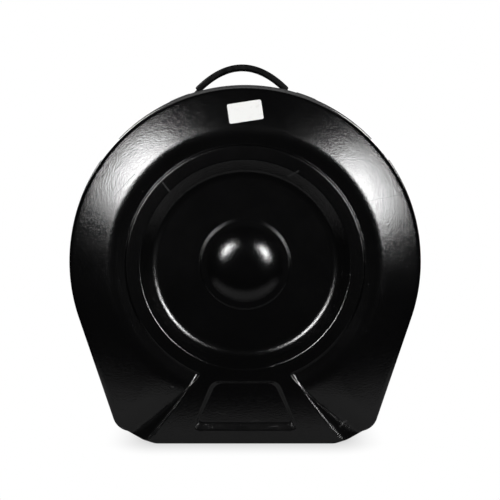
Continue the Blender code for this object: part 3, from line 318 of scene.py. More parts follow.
# Back shell. The deeper half of the case: one pressing of 3.5 mm plastic with a bead round its rim, a
# drafted wall, the cone up to the crest, the valley, the flat ring, the dish and a flat-topped bell.
# A wedge carries the ring's level down to the foot, and a thin lip at the mouth locates the lid.
CASE_RADIUS = 0.310
CENTRE_HEIGHT = 0.312
PARTING_Y = -0.015
FOOT_HALF_WIDTH = 0.156
CORNER_RADIUS = 0.032
TOE_RADIUS = 0.030
SIDE_LEAN = math.radians(18.0)
FOOT_RISE = math.radians(17.7)
# Steps along each stretch of the outline, from the top round to the middle of the foot.
OUTLINE_STEPS = {"rim": 90, "side": 14, "corner": 14, "rise": 10, "toe": 4, "foot": 38}
WALL = 0.0035
DRAFT = math.radians(3.0)
BEAD_STEP = 0.003
BEAD_HEIGHT = 0.005
BEAD_FOOT = BEAD_HEIGHT + BEAD_STEP
MATING_LEVEL = 0.00015
LIP_REACH = 0.005
LIP_THICKNESS = 0.002
LIP_ROOT = 0.006
LIP_CLEARANCE = 0.0004
FACE_DROP = 0.021
FACE_CROWN = 0.0010
SHOULDER_SETBACK = 0.008
DISH_DEPTH = 0.022
BELL_FOOT_RISE = 0.0022
BELL_GAP = 0.0005
FACE_EDGE = 0.006
FRONT = -1
BACK = 1
SHELL_DEPTHS = {FRONT: 0.060, BACK: 0.090}
CREST_RADIUS = 0.231
BELL_RADIUS = 0.066
BELL_POWER = 2.83
BELL_STEPS = 18
WALL_STEPS = 5
WEDGE_TOP = 0.125
WEDGE_HALF_WIDTHS = (0.1743, 0.0775)
WEDGE_SPREADS = (0.055, 0.015)
WEDGE_END_SLOPE = 1.5
WEDGE_INSIDE = 0.05
INNER_FLANK = (0.3, 0.3)
FLANK_DROP = 0.030
CREASE_BLEND = (0.008, 0.0015)
CREASE_ROWS = (0.005, 0.0012)
FILLET_BLEND = 0.004
WELD = 0.00001
HAIR = 0.0001


def arc_points(centre, radius, start, end, steps):
    """Places along an arc from one angle to another, both ends with it."""
    turns = [start + (end - start) * i / steps for i in range(steps + 1)]
    return [Vector((centre[0] + radius * math.cos(a), centre[1] + radius * math.sin(a))) for a in turns]


def between(start, end, steps):
    """Places that divide a straight line, without its ends."""
    return [start.lerp(end, i / steps) for i in range(1, steps)]


def line_crossing(first, second):
    """Where two outline lines meet; a line is (angle of its normal, distance from the origin)."""
    (angle_a, reach_a), (angle_b, reach_b) = first, second
    spread = math.sin(angle_b - angle_a)
    x = (reach_a * math.sin(angle_b) - reach_b * math.sin(angle_a)) / spread
    z = (reach_b * math.cos(angle_a) - reach_a * math.cos(angle_b)) / spread
    return Vector((x, z))


def wall_inset(level):
    """How far the drafted wall stands inside the rim, at a level above the parting plane."""
    return BEAD_STEP + max(level, 0) * math.tan(DRAFT)


def case_outline(rim_inset, foot_inset):
    """The case's outline from the top round to the right, stepped in at the rim and at the foot."""
    side, rise, foot = -SIDE_LEAN, FOOT_RISE - math.pi / 2, -math.pi / 2
    side_reach = CASE_RADIUS - CENTRE_HEIGHT * math.sin(SIDE_LEAN) - rim_inset
    rise_reach = FOOT_HALF_WIDTH * math.cos(rise) - foot_inset
    corner = max(CORNER_RADIUS - foot_inset, 0.001)
    corner_centre = line_crossing((side, side_reach - corner), (rise, rise_reach - corner))
    toe = max(TOE_RADIUS - foot_inset, 0.001)
    toe_centre = line_crossing((rise, rise_reach - toe), (foot, -foot_inset - toe))
    steps = OUTLINE_STEPS
    round_rim = arc_points((0, CENTRE_HEIGHT), CASE_RADIUS - rim_inset, math.pi / 2, side, steps["rim"])
    corner_arc = arc_points(corner_centre, corner, side, rise, steps["corner"])
    toe_arc = arc_points(toe_centre, toe, rise, foot, steps["toe"])
    middle = Vector((0, foot_inset))
    right = round_rim + between(round_rim[-1], corner_arc[0], steps["side"]) + corner_arc
    right += between(corner_arc[-1], toe_arc[0], steps["rise"]) + toe_arc
    right += between(toe_arc[-1], middle, steps["foot"]) + [middle]
    return right + [Vector((-p.x, p.y)) for p in reversed(right[1:-1])]


RIM_DIRECTIONS = [(p - Vector((0, CENTRE_HEIGHT))).normalized() for p in case_outline(0, 0)]


def face_ring(radius, level):
    """Outline of the shell at one radius and level: the case's outline at the rim, a circle inside."""
    inset = CASE_RADIUS - radius
    foot_inset = max(inset - wall_inset(level), 0)
    shoulder = CASE_RADIUS - wall_inset(SHELL_DEPTHS[FRONT])
    roundness = min(max((shoulder - radius) / (shoulder - CREST_RADIUS), 0), 1)
    centre = Vector((0, CENTRE_HEIGHT))
    ring = [p.lerp(centre + way * radius, roundness)
            for p, way in zip(case_outline(inset, foot_inset), RIM_DIRECTIONS)]
    return ring, foot_inset


def rounded_corner(before, spot, after, setback, steps):
    """Curve that cuts a corner, from a setback before it to a setback after it."""
    start = spot + (before - spot).normalized() * setback
    end = spot + (after - spot).normalized() * setback
    shares = [i / steps for i in range(steps + 1)]
    return [start * (1 - t) ** 2 + spot * 2 * t * (1 - t) + end * t ** 2 for t in shares]


def rounded_line(corners):
    """Polyline of (radius, level, setback, steps) corners; one without a setback stays sharp."""
    spots = [Vector(corner[:2]) for corner in corners]
    line = [spots[0]]
    for i in range(1, len(spots) - 1):
        if len(corners[i]) == 2:
            line.append(spots[i])
        else:
            line += rounded_corner(spots[i - 1], spots[i], spots[i + 1], *corners[i][2:])
    return line + [spots[-1]]


def rounded_outline(corners, radius, steps=6):
    """Closed outline with its corners rounded."""
    spots = [Vector(corner) for corner in corners]
    line = []
    for i, spot in enumerate(spots):
        line += rounded_corner(spots[i - 1], spot, spots[(i + 1) % len(spots)], radius, steps)
    return line


def wall_point(level, thickness=0.0):
    """(radius, level) on the drafted wall's outside, or a thickness further in."""
    return (CASE_RADIUS - wall_inset(level) - thickness / math.cos(DRAFT), level)


def face_corners(side, depth):
    """Corners of the pressed face from the shoulder to the middle."""
    shoulder = wall_point(depth - FACE_DROP)
    floor = depth - DISH_DEPTH
    corners = [
        (*shoulder, SHOULDER_SETBACK, 9),
        ((shoulder[0] + CREST_RADIUS) / 2, depth - FACE_DROP / 2 + FACE_CROWN, 0.026, 12),  # middle of the cone
        (CREST_RADIUS, depth, 0.0100, 8),
        (0.2065, depth - 0.005, 0.0012, 3),  # bottom of the valley
        (0.2035, depth, 0.0015, 5),  # outer edge of the flat ring
        (0.1805, depth, 0.0018, 5),  # inner edge of the flat ring
        (0.1570, floor, 0.0090, 8),  # foot of the dish's wall
        (0.0790, floor, 0.0010, 3),
        (0.0765, floor + BELL_FOOT_RISE, 0.0010, 4),
    ]
    if side == FRONT:
        corners.append((BELL_RADIUS, floor + BELL_FOOT_RISE))
    return corners


def bell_line(side, depth, start, thickness=0.0):
    """The bell from its foot ring to the pole: a dome in front, flat-topped at the back."""
    top = depth - BELL_GAP - thickness
    if side == BACK:
        return rounded_line([tuple(start), (0.0540, top, 0.0110, 8), (0.020, top), (0, top)])[1:]
    height = top - start[1]
    return [Vector((start[0] * share, top - height * share ** BELL_POWER))
            for share in (1 - i / BELL_STEPS for i in range(1, BELL_STEPS + 1))]


def moved_in(corners, distance):
    """The same corners one wall further in, mitred."""
    moved = []
    for i, corner in enumerate(corners):
        here = Vector(corner[:2])
        before = (here - Vector(corners[i - 1][:2])) if i else (Vector(corners[1][:2]) - here)
        after = (Vector(corners[i + 1][:2]) - here) if i < len(corners) - 1 else before
        before, after = before.normalized(), after.normalized()
        bisector = Vector((-before.y - after.y, before.x + after.x)).normalized()
        reach = distance / max(bisector.dot(Vector((-before.y, before.x))), 0.5)
        moved.append((*(here + bisector * reach), *corner[2:]))
    return moved


def smooth_max(a, b, blend):
    """The greater of two levels, blended where they are close."""
    share = max(blend - abs(a - b), 0) / blend
    return max(a, b) + share * share * blend / 4


def wedge_level(x, z, depth, inset):
    """Level of the wedge over a place of the face: its flat top, and flanks that fall to each side."""
    rise = min(z / WEDGE_TOP, 1)
    crease = WEDGE_HALF_WIDTHS[0] + (WEDGE_HALF_WIDTHS[1] - WEDGE_HALF_WIDTHS[0]) * z / WEDGE_TOP
    spread = WEDGE_SPREADS[0] + (WEDGE_SPREADS[1] - WEDGE_SPREADS[0]) * rise
    shift = inset * (INNER_FLANK[0] + INNER_FLANK[1] * rise)
    flank = depth - FLANK_DROP * (abs(x) - crease + shift) / spread
    blend = FLANK_DROP / spread * (CREASE_BLEND[0] + (CREASE_BLEND[1] - CREASE_BLEND[0]) * rise)
    level = -smooth_max(-flank, -depth, blend)
    return min(level, depth - max(z - WEDGE_TOP, 0) * WEDGE_END_SLOPE)


def edge_level(foot_inset, depth):
    """Level of the face's rounded front edge over the foot, by the distance from the foot."""
    t = math.sqrt(min(max(foot_inset, 0) / FACE_EDGE, 1))
    return depth - FACE_EDGE * (1 - t) ** 2


def shell_stations(side):
    """Stations of the whole closed shell, from the inner pole round the mouth to the outer pole.

    Each is (radius, level, kind); kind is 'in' or 'out' for the pressed face, 'in_wall' or 'out_wall' for
    the drafted wall, which grows with the wedge, and 'rim' for what stays.
    """
    depth = SHELL_DEPTHS[side]
    corners = face_corners(side, depth)
    fillet_level = depth - FACE_DROP - SHOULDER_SETBACK
    inner = moved_in([wall_point(0)] + corners, WALL)
    inner[0] = wall_point(0, WALL)
    inner_line = rounded_line(inner)[1:]
    inner_bell = bell_line(side, depth, inner_line[-1], WALL)
    outer_line = rounded_line([wall_point(0)] + corners)[1:]
    outer_bell = bell_line(side, depth, outer_line[-1])
    stations = [(p.x, p.y, 'in') for p in reversed(inner_line + inner_bell)]
    wall_top = inner_line[0].y
    low = LIP_ROOT + LIP_THICKNESS if side == BACK else BEAD_FOOT
    for i in range(WALL_STEPS):
        level = wall_top + (low - wall_top) * (i + 1) / WALL_STEPS
        stations.append((*wall_point(level, WALL), 'in_wall'))
    if side == BACK:
        outside = wall_point(LIP_REACH, WALL)[0] - LIP_CLEARANCE
        inside = outside - LIP_THICKNESS
        stations += [(inside, LIP_ROOT, 'rim'), (inside, 0, 'rim'), (inside, -LIP_REACH + 0.0006, 'rim'),
                     (inside + 0.0005, -LIP_REACH, 'rim'), (outside - 0.0005, -LIP_REACH, 'rim'),
                     (outside, -LIP_REACH + 0.0006, 'rim'), (outside, MATING_LEVEL, 'rim')]
    else:
        stations += [(*wall_point(MATING_LEVEL, WALL), 'rim')]
    bead = rounded_line([
        (stations[-1][0], MATING_LEVEL),
        (CASE_RADIUS, MATING_LEVEL, 0.0005, 3),
        (CASE_RADIUS, BEAD_HEIGHT, 0.0016, 4),
        (*wall_point(BEAD_FOOT), 0.0014, 3),
        wall_point(BEAD_FOOT + 0.004),
    ])
    stations += [(p.x, p.y, 'rim') for p in bead[1:]]
    start = bead[-1].y
    for i in range(WALL_STEPS):
        level = start + (fillet_level - start) * (i + 1) / (WALL_STEPS + 1)
        stations.append((*wall_point(level), 'out_wall'))
    stations += [(p.x, p.y, 'out') for p in outer_line + outer_bell]
    return stations, start, low


def next_ring(bm, ring, edges):
    """Extrude a ring of edges; gives the new ring's vertices, in the same order, and its edges."""
    grown = bmesh.ops.extrude_edge_only(bm, edges=edges)["geom"]
    fresh = {item for item in grown if isinstance(item, bmesh.types.BMVert)}
    verts = [next(e.other_vert(v) for e in v.link_edges if e.other_vert(v) in fresh) for v in ring]
    edges = [item for item in grown if isinstance(item, bmesh.types.BMEdge)
             and item.verts[0] in fresh and item.verts[1] in fresh]
    return verts, edges


def press_shell(side):
    """Grow the shell ring by ring from its inner pole to its outer pole, then press the wedge into it."""
    depth = SHELL_DEPTHS[side]
    stations, outer_start, inner_start = shell_stations(side)
    bm = bmesh.new()
    foot_layer = bm.verts.layers.float.new("foot")
    kind_layer = bm.verts.layers.int.new("kind")
    kinds = ('rim', 'in', 'out', 'in_wall', 'out_wall')
    ring = bmesh.ops.create_circle(bm, segments=len(RIM_DIRECTIONS), radius=CASE_RADIUS)["verts"]
    edges = [bm.edges.get((ring[i - 1], ring[i])) for i in range(len(ring))]
    for i, (radius, level, kind) in enumerate(stations):
        if i:
            ring, edges = next_ring(bm, ring, edges)
        spots, foot_inset = face_ring(radius, level)
        for vert, spot in zip(ring, spots):
            vert.co = (spot.x, level, spot.y)
            vert[foot_layer] = foot_inset
            vert[kind_layer] = kinds.index(kind)

    for hand in (-1, 1):
        for row in (-2, -1, 0, 1, 2):
            low = Vector((hand * (WEDGE_HALF_WIDTHS[0] + row * CREASE_ROWS[0]), 0, 0))
            high = Vector((hand * (WEDGE_HALF_WIDTHS[1] + row * CREASE_ROWS[1]), 0, WEDGE_TOP))
            near = [f for f in bm.faces if f.verts[0].co.x * hand > WEDGE_INSIDE and f.verts[0].co.z < WEDGE_TOP
                    and all(v[kind_layer] == kinds.index('out') for v in f.verts)]
            parts = {v for f in near for v in f.verts} | {e for f in near for e in f.edges} | set(near)
            bmesh.ops.bisect_plane(bm, geom=list(parts), plane_co=low, dist=WELD,
                                   plane_no=(high - low).cross(Vector((0, 1, 0))).normalized())

    for vert in bm.verts:
        kind = kinds[vert[kind_layer]]
        if kind == 'rim':
            continue
        inset = WALL if kind.startswith('in') else 0.0
        reach = depth - inset
        top = min(edge_level(vert[foot_layer] - inset, reach), wedge_level(vert.co.x, vert.co.z, reach, inset))
        if kind in ('in', 'out'):
            vert.co.y = min(smooth_max(vert.co.y, top, FILLET_BLEND), max(vert.co.y, reach))
        else:
            start = inner_start if inset else outer_start
            nominal = reach - FACE_DROP - SHOULDER_SETBACK
            stretched = min(smooth_max(nominal, top, FILLET_BLEND), reach)
            vert.co.y = start + (vert.co.y - start) * (stretched - start) / (nominal - start)
    poles = [v for v in bm.verts if abs(v.co.x) < WELD and abs(v.co.z - CENTRE_HEIGHT) < WELD]
    bmesh.ops.remove_doubles(bm, verts=poles, dist=WELD)
    for vert in bm.verts:
        vert.co.y = PARTING_Y + side * vert.co.y
    bmesh.ops.recalc_face_normals(bm, faces=bm.faces)
    return bm


def rounded_rectangle(half, low, high, corner, steps=6, side_steps=10):
    """Rectangle in a latch pocket's own X and Y, with its two corners at the far end rounded."""
    far, near = (high, low) if abs(high) > abs(low) else (low, high)
    way = 1 if far > near else -1
    level = far - way * corner
    line = [Vector((-half, near))]
    line += arc_points((-half + corner, level), corner, math.pi, math.pi - way * math.pi / 2, steps)
    line += between(line[-1], Vector((half - corner, far)), side_steps)
    line += arc_points((half - corner, level), corner, way * math.pi / 2, 0, steps)
    line.append(Vector((half, near)))
    return line + between(line[-1], line[0], side_steps)


def grow_rings(rings):
    """Closed body: a flat end on the first ring, extruded ring by ring to a flat end on the last."""
    bm = bmesh.new()
    ring = [bm.verts.new(spot) for spot in rings[0]]
    edges = [bm.edges.new((ring[i - 1], ring[i])) for i in range(len(ring))]
    bm.faces.new(ring)
    for spots in rings[1:]:
        ring, edges = next_ring(bm, ring, edges)
        for vert, spot in zip(ring, spots):
            vert.co = spot
    bm.faces.new(ring)
    bmesh.ops.recalc_face_normals(bm, faces=bm.faces)
    return bm


LATCH_ANGLE = math.radians(40.0)
POCKET_HALF_WIDTH = 0.023
POCKET_FLOOR = 0.298
POCKET_LENGTHS = {FRONT: 0.024, BACK: 0.052}
POCKET_OVERLAP = 0.010
POCKET_CORNER = 0.006
POCKET_FILLET = 0.0012
POCKET_CLEAR = 0.012
CHANNEL_HALF_DEPTH = 0.022
CHANNEL_HEIGHT = 0.012
CHANNEL_FILLET = 0.0015
CHANNEL_REACH = 0.33
CHANNEL_CLEAR = -0.010
PANEL_DEPTH = 0.0045
PANEL_CORNER = 0.014
PANEL_TOP, PANEL_HALF_TOP = 0.1075, 0.0500
PANEL_FOOT, PANEL_HALF_FOOT = 0.0370, 0.0840
PANEL_RISE, PANEL_FALL, PANEL_WIDENING = 0.0035, 0.0120, 0.0080
# Steps of the panel's soft recess: how far the outline opens, and the share of the full depth.
PANEL_STEPS = ((-0.16, -1.0), (0.0, -0.985), (0.12, -0.92), (0.24, -0.80), (0.76, -0.23), (0.88, -0.10),
               (0.97, -0.035), (1.06, -0.006), (1.12, 0.02), (1.14, 0.6))
BEHIND = 0.0017
LIP_MARGIN = WALL + LIP_CLEARANCE
LIP_NOTCH = (-0.010, 0.00005)
HANDS = ((-1, "left"), (1, "right"))


def placed(bm, frame):
    """The same bmesh moved to a frame."""
    bmesh.ops.transform(bm, matrix=frame, verts=bm.verts)
    return bm


def latch_frame(hand):
    """Local X runs round the rim, Y to the back and Z out of the case; origin on the case's axis."""
    angle = LATCH_ANGLE if hand > 0 else math.pi - LATCH_ANGLE
    out = Vector((math.cos(angle), 0, math.sin(angle)))
    back = Vector((0, 1, 0))
    turn = Matrix((back.cross(out), back, out)).transposed().to_4x4()
    return Matrix.Translation((0, PARTING_Y, CENTRE_HEIGHT)) @ turn


def on_wall(spot, height):
    """A place of a pocket's outline, raised to a height above the drafted round wall."""
    radius = CASE_RADIUS - wall_inset(abs(spot.y))
    return Vector((spot.x, spot.y, math.sqrt(radius ** 2 - spot.x ** 2) + height))


def fillet_steps(radius, steps=5, last=math.radians(78)):
    """(outward, height) pairs of a rounded mouth, from the wall of a recess up to the surface."""
    turns = [last * i / steps for i in range(steps + 1)]
    return [(radius * (1 - math.cos(a)), radius * math.sin(a) - radius) for a in turns]


def pocket_body(side, hand, grow, opened):
    """Cutter of a latch pocket with a rounded mouth, or the block that becomes its housing."""
    length = POCKET_LENGTHS[side] + grow
    near = -side * POCKET_OVERLAP if opened else side * (MATING_LEVEL + HAIR)

    def ring(outward):
        return rounded_rectangle(POCKET_HALF_WIDTH + grow + outward, near, side * (length + outward),
                                 POCKET_CORNER + grow + outward)

    rings = [[Vector((p.x, p.y, POCKET_FLOOR - grow)) for p in ring(0)]]
    if opened:
        for outward, height in fillet_steps(POCKET_FILLET):
            rings.append([on_wall(p, height) for p in ring(outward)])
        rings.append([on_wall(p, POCKET_CLEAR) for p in ring(outward + HAIR)])
    else:
        rings.append([on_wall(p, -BEHIND) for p in ring(0)])
    return placed(grow_rings(rings), latch_frame(hand))


def along_x(section, ends):
    """Bar along X with a section of (y, z) pairs."""
    return grow_rings([[Vector((x, *spot)) for spot in section] for x in ends])


def channel_cutter():
    """Cutter of the hinge channel under the foot, with its two long edges rounded."""
    half = [(CHANNEL_HALF_DEPTH + outward, -height) for outward, height in fillet_steps(CHANNEL_FILLET)]
    edge = [(CHANNEL_HALF_DEPTH, CHANNEL_HEIGHT)] + half + [(half[-1][0] + HAIR, CHANNEL_CLEAR)]
    right = [(PARTING_Y + y, z) for y, z in edge]
    left = [(PARTING_Y - y, z) for y, z in reversed(edge)]
    return along_x(right + left, (-CHANNEL_REACH, CHANNEL_REACH))


def channel_housing(side):
    """Roof and walls over the hinge channel, cut off where the sloping ends of the foot come up."""
    top = CHANNEL_HEIGHT + WALL
    slope = math.tan(FOOT_RISE)
    lift = BEHIND / math.cos(FOOT_RISE)
    end = FOOT_HALF_WIDTH + (top - lift) / slope
    toe = FOOT_HALF_WIDTH + 0.0005
    outline = [(-end, top), (end, top), (toe, BEHIND), (-toe, BEHIND)]
    levels = (MATING_LEVEL + HAIR, CHANNEL_HALF_DEPTH + WALL)
    return grow_rings([[Vector((x, PARTING_Y + side * level, z)) for x, z in outline] for level in levels])


def panel_outline(share, outward):
    """Outline of the bare panel: share 0 at its floor, 1 at its mouth; (x, z) with rounded corners."""
    top = PANEL_TOP + PANEL_RISE * share + outward
    foot = PANEL_FOOT - PANEL_FALL * share - outward
    half_top = PANEL_HALF_TOP + PANEL_WIDENING * share + outward
    half_foot = PANEL_HALF_FOOT + PANEL_WIDENING * share + outward
    corners = [(half_top, top), (half_foot, foot), (-half_foot, foot), (-half_top, top)]
    return rounded_outline(corners, PANEL_CORNER, 12)


def panel_body(housing):
    """Cutter of the bare panel's recess with soft edges, or the plate behind it."""
    if housing:
        steps = [(1, WALL, -PANEL_DEPTH - WALL), (1, WALL, -BEHIND)]
    else:
        steps = [(share, 0, level * PANEL_DEPTH) for share, level in PANEL_STEPS]
    face = PARTING_Y - SHELL_DEPTHS[FRONT]
    return grow_rings([[Vector((p.x, face - level, p.y)) for p in panel_outline(share, outward)]
                       for share, outward, level in steps])


def rectangle(low, high):
    """Corners of a rectangle between two (across, up) corners."""
    return [(low[0], low[1]), (high[0], low[1]), (high[0], high[1]), (low[0], high[1])]


def lip_notches():
    """Blocks that cut the lip away beside the lid's latch pockets and over the hinge channel."""
    half = POCKET_HALF_WIDTH + LIP_MARGIN
    corners = rectangle((-half, POCKET_FLOOR - LIP_MARGIN - LIP_THICKNESS), (half, CASE_RADIUS))
    blocks = [placed(grow_rings([[Vector((x, y, z)) for x, z in corners] for y in LIP_NOTCH]), latch_frame(hand))
              for hand, word in HANDS]
    section = rectangle((PARTING_Y + LIP_NOTCH[0], CHANNEL_CLEAR),
                        (PARTING_Y + LIP_NOTCH[1], CHANNEL_HEIGHT + LIP_MARGIN))
    return blocks + [along_x(section, (-CHANNEL_REACH, CHANNEL_REACH))]


def object_from(bm, name):
    """Object at the origin with the bmesh's shape."""
    mesh = bpy.data.meshes.new(name)
    bm.to_mesh(mesh)
    bm.free()
    thing = bpy.data.objects.new(name, mesh)
    bpy.context.scene.collection.objects.link(thing)
    return thing


def joined(bodies, name):
    """One object from several separate closed bodies."""
    whole = bmesh.new()
    for bm in bodies:
        bmesh.ops.recalc_face_normals(bm, faces=bm.faces)
        part = bpy.data.meshes.new("part")
        bm.to_mesh(part)
        bm.free()
        whole.from_mesh(part)
        bpy.data.meshes.remove(part)
    return object_from(whole, name)


def settle(thing):
    """Make a piece's modifiers part of its mesh."""
    evaluated = thing.evaluated_get(bpy.context.evaluated_depsgraph_get())
    mesh = bpy.data.meshes.new_from_object(evaluated)
    thing.modifiers.clear()
    thing.data = mesh


def combine(thing, steps):
    """Join or cut a piece with tool bodies, keep the result and drop the tools."""
    tools = []
    for operation, bodies in steps:
        tool = joined(bodies, "tool")
        tools.append(tool)
        modifier = thing.modifiers.new(operation.lower(), 'BOOLEAN')
        modifier.operation = operation
        modifier.solver = 'EXACT'
        modifier.object = tool
    bpy.context.view_layer.update()
    settle(thing)
    for tool in tools:
        bpy.data.objects.remove(tool)


def finish_piece(thing, material, body, replaced=(), sharp=35.0):
    """Smooth the piece, give it its material, and let it ride on its body."""
    thing.data.materials.clear()
    thing.data.materials.append(material)
    thing.data.shade_smooth()
    thing.data.set_sharp_from_angle(angle=math.radians(sharp))
    thing.modifiers.new("even_normals", 'WEIGHTED_NORMAL').keep_sharp = True
    settle(thing)
    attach(thing, body)
    if replaced:
        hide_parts(*replaced)
    return thing


def make_shell(name, side, material, body, node):
    """One pressed shell with its latch pockets, hinge channel, panel and lip notches."""
    shell = object_from(press_shell(side), name)
    housings = [pocket_body(side, hand, WALL, False) for hand, word in HANDS] + [channel_housing(side)]
    cutters = [pocket_body(side, hand, 0, True) for hand, word in HANDS] + [channel_cutter()]
    if side == FRONT:
        housings.append(panel_body(True))
        cutters.append(panel_body(False))
    steps = [('UNION', housings), ('DIFFERENCE', cutters)]
    if side == BACK:
        steps.append(('DIFFERENCE', lip_notches()))
    combine(shell, steps)
    finish_piece(shell, material, body, (node,))


make_shell("case_back", BACK, back_plastic, "back_shell", "back_shell")


# Front shell. The shallower half, the lid: the same pressing with a domed bell, and a bare panel
# recessed in the flat of its wedge. It turns on the foot hinges with everything that is fixed to it.
make_shell("case_front", FRONT, front_plastic, "lid", "front_shell")


# Shop label. A blank self-adhesive paper label, stuck a little crooked near the top of the lid's cone.
# It follows the curve of the plastic, and its paper is matt with a faint tooth and soiled patches.
LABEL_HALF = Vector((0.0293, 0.0168))
LABEL_CENTRE = Vector((0.0005, 0.5735))
LABEL_TILT = math.radians(8.6)
LABEL_CORNER = 0.0035
LABEL_LIFTS = (0.00010, 0.00032)
LABEL_SHARES = (0.04, 0.2, 0.4, 0.6, 0.8, 0.93, 1.0)
LABEL_STEP = 0.004
PAPER_WHITE = (0.66, 0.66, 0.65)
PAPER_SOILED = (0.54, 0.54, 0.52)


def with_sides(line, longest):
    """The same closed outline with its long sides divided."""
    result = []
    for i, spot in enumerate(line):
        after = line[(i + 1) % len(line)]
        result += [spot] + between(spot, after, max(1, math.ceil((after - spot).length / longest)))
    return result


lid_line = [station for station in shell_stations(FRONT)[0] if station[2] == 'out']


def lid_level(radius):
    """Level of the lid's outer face at a radius, where the face is round."""
    for outer, inner in zip(lid_line, lid_line[1:]):
        if inner[0] <= radius <= outer[0]:
            share = (outer[0] - radius) / max(outer[0] - inner[0], WELD)
            return outer[1] + (inner[1] - outer[1]) * share
    return SHELL_DEPTHS[FRONT]


label_shape = with_sides(rounded_outline(rectangle(-LABEL_HALF, LABEL_HALF), LABEL_CORNER), LABEL_STEP)


def label_ring(share, lift):
    """Outline of the label at a share of its size, laid on the cone at a height above the plastic."""
    turn = Matrix.Rotation(LABEL_TILT, 2)
    ring = []
    for spot in label_shape:
        x, z = LABEL_CENTRE + turn @ (spot * share)
        radius = math.hypot(x, z - CENTRE_HEIGHT)
        ring.append(Vector((x, PARTING_Y - lid_level(radius) - lift, z)))
    return ring


label_rings = [label_ring(share, LABEL_LIFTS[0]) for share in LABEL_SHARES]
label_rings += [label_ring(share, LABEL_LIFTS[1]) for share in reversed(LABEL_SHARES)]
shop_label = object_from(grow_rings(label_rings), "shop_label")

paper, tree, shader, place = material_base("label_paper")
smudge = noise(tree, place, 75.0, 5.0, 0.6)
feed(tree, shader, {
    "Base Color": two_tones(tree, ramp_between(tree, smudge, 0.52, 0.74), PAPER_WHITE, PAPER_SOILED),
    "Roughness": ramp_between(tree, smudge, 0.35, 0.65, 0.50, 0.62),
    "Normal": bumped(tree, noise(tree, place, 2600.0, 4.0, 0.6), 0.25, 0.0001),
})
finish_piece(shop_label, paper, "lid")


# Handle end caps. Each is a curved plated-steel channel over one end of the strap, with rounded edges,
# held to the back shell by two domed rivets. The strap slides in the slot at its mouth.
HANDLE_X = -0.0035
HANDLE_Y = 0.012
FIT_GAP = 0.0003
CAP_START = 0.092
CAP_LENGTH = 0.035
CAP_HALF_WIDTH = 0.016
CAP_THICKNESS = 0.0055
CAP_ROUND = 0.0016
CAP_STEPS = 12
CAP_SLOT_LENGTH = 0.022
CAP_SLOT_STEPS = 10
CAP_RIVET_MARGIN = 0.007
CAP_RIVET_RADIUS = 0.004
CAP_RIVET_HEIGHT = 0.0016
STRAP_HALF_WIDTH = 0.010
STRAP_THICKNESS = 0.002
QUARTER = [math.pi / 2 * i / 5 for i in range(6)]
PLATE_GREY, PLATE_DULL, PLATE_WORN = (0.36, 0.36, 0.37), (0.27, 0.27, 0.27), (0.12, 0.11, 0.10)


def metal_finish(name, colour, dull, rough, wear_colour, wear_low):
    """Metal with a mottled plated skin, fine scratches and dull spots where it has worn."""
    material, tree, shader, place = material_base(name)
    stretched = add_node(tree, "ShaderNodeMapping", {"Vector": place, "Scale": (60.0, 900.0, 60.0)}).outputs[0]
    lines = noise(tree, stretched, 1.0, 3.0)
    tone = two_tones(tree, noise(tree, place, 240.0, 5.0), colour, dull)
    wear = ramp_between(tree, noise(tree, place, 95.0, 7.0, 0.7), wear_low, wear_low + 0.08)
    gloss = ramp_between(tree, lines, 0.3, 0.7, rough, rough + 0.14)
    feed(tree, shader, {
        "Base Color": two_tones(tree, wear, tone, wear_colour),
        "Roughness": join_math(tree, 'ADD', gloss, join_math(tree, 'MULTIPLY', wear, 0.15)),
        "Normal": bumped(tree, lines, 0.12, 0.0001),
        "Metallic": 1.0,
    })
    return material


plated_steel = metal_finish("plated_steel", PLATE_GREY, PLATE_DULL, 0.26, PLATE_WORN, 0.60)


def seat_radius(y):
    """Distance of the back shell's wall from the case's axis, with the gap under a fitting."""
    return CASE_RADIUS - wall_inset(y - PARTING_Y) + FIT_GAP


def rim_direction(x):
    """Direction from the case's axis to the wall at a place across the case."""
    angle = math.acos(x / (CASE_RADIUS - BEAD_STEP))
    return Vector((math.cos(angle), 0, math.sin(angle)))


def cap_x(hand, distance):
    """Place across the case at a distance along a cap from its mouth."""
    return HANDLE_X + hand * (CAP_START + distance)


def on_rim(x, across, height):
    """Place over the back shell's wall, across from the handle's middle and above the wall."""
    reach = seat_radius(HANDLE_Y + across) + height
    return Vector((0, HANDLE_Y + across, CENTRE_HEIGHT)) + rim_direction(x) * reach


def cap_section(inset):
    """Section of a cap as (across, height), with its two upper edges rounded."""
    half, top = CAP_HALF_WIDTH - inset, CAP_THICKNESS - inset
    right = [(half - CAP_ROUND + CAP_ROUND * math.cos(a), top - CAP_ROUND + CAP_ROUND * math.sin(a))
             for a in QUARTER]
    return [(-half, 0), (half, 0)] + right + [(-across, height) for across, height in reversed(right)]


def cap_body(hand):
    """Solid cap along the rim with its ends rounded over."""
    ends = [(CAP_ROUND * (1 - math.cos(a)), CAP_ROUND * (1 - math.sin(a))) for a in QUARTER]
    middle = [(CAP_ROUND + (CAP_LENGTH - 2 * CAP_ROUND) * i / CAP_STEPS, 0) for i in range(1, CAP_STEPS)]
    course = ends + middle + [(CAP_LENGTH - distance, inset) for distance, inset in reversed(ends)]
    return grow_rings([[on_rim(cap_x(hand, distance), *spot) for spot in cap_section(inset)]
                       for distance, inset in course])


def cap_slot(hand):
    """Cutter of the slot that the strap slides in."""
    half = STRAP_HALF_WIDTH + 2 * FIT_GAP
    top = STRAP_THICKNESS + 2 * STRAP_HALF_WIDTH * math.tan(DRAFT) + 2 * FIT_GAP
    step = (CAP_SLOT_LENGTH + CAP_ROUND) / CAP_SLOT_STEPS
    places = [-CAP_ROUND + step * i for i in range(CAP_SLOT_STEPS + 1)]
    return grow_rings([[on_rim(cap_x(hand, place), *spot) for spot in rectangle((-half, -WALL), (half, top))]
                       for place in places])


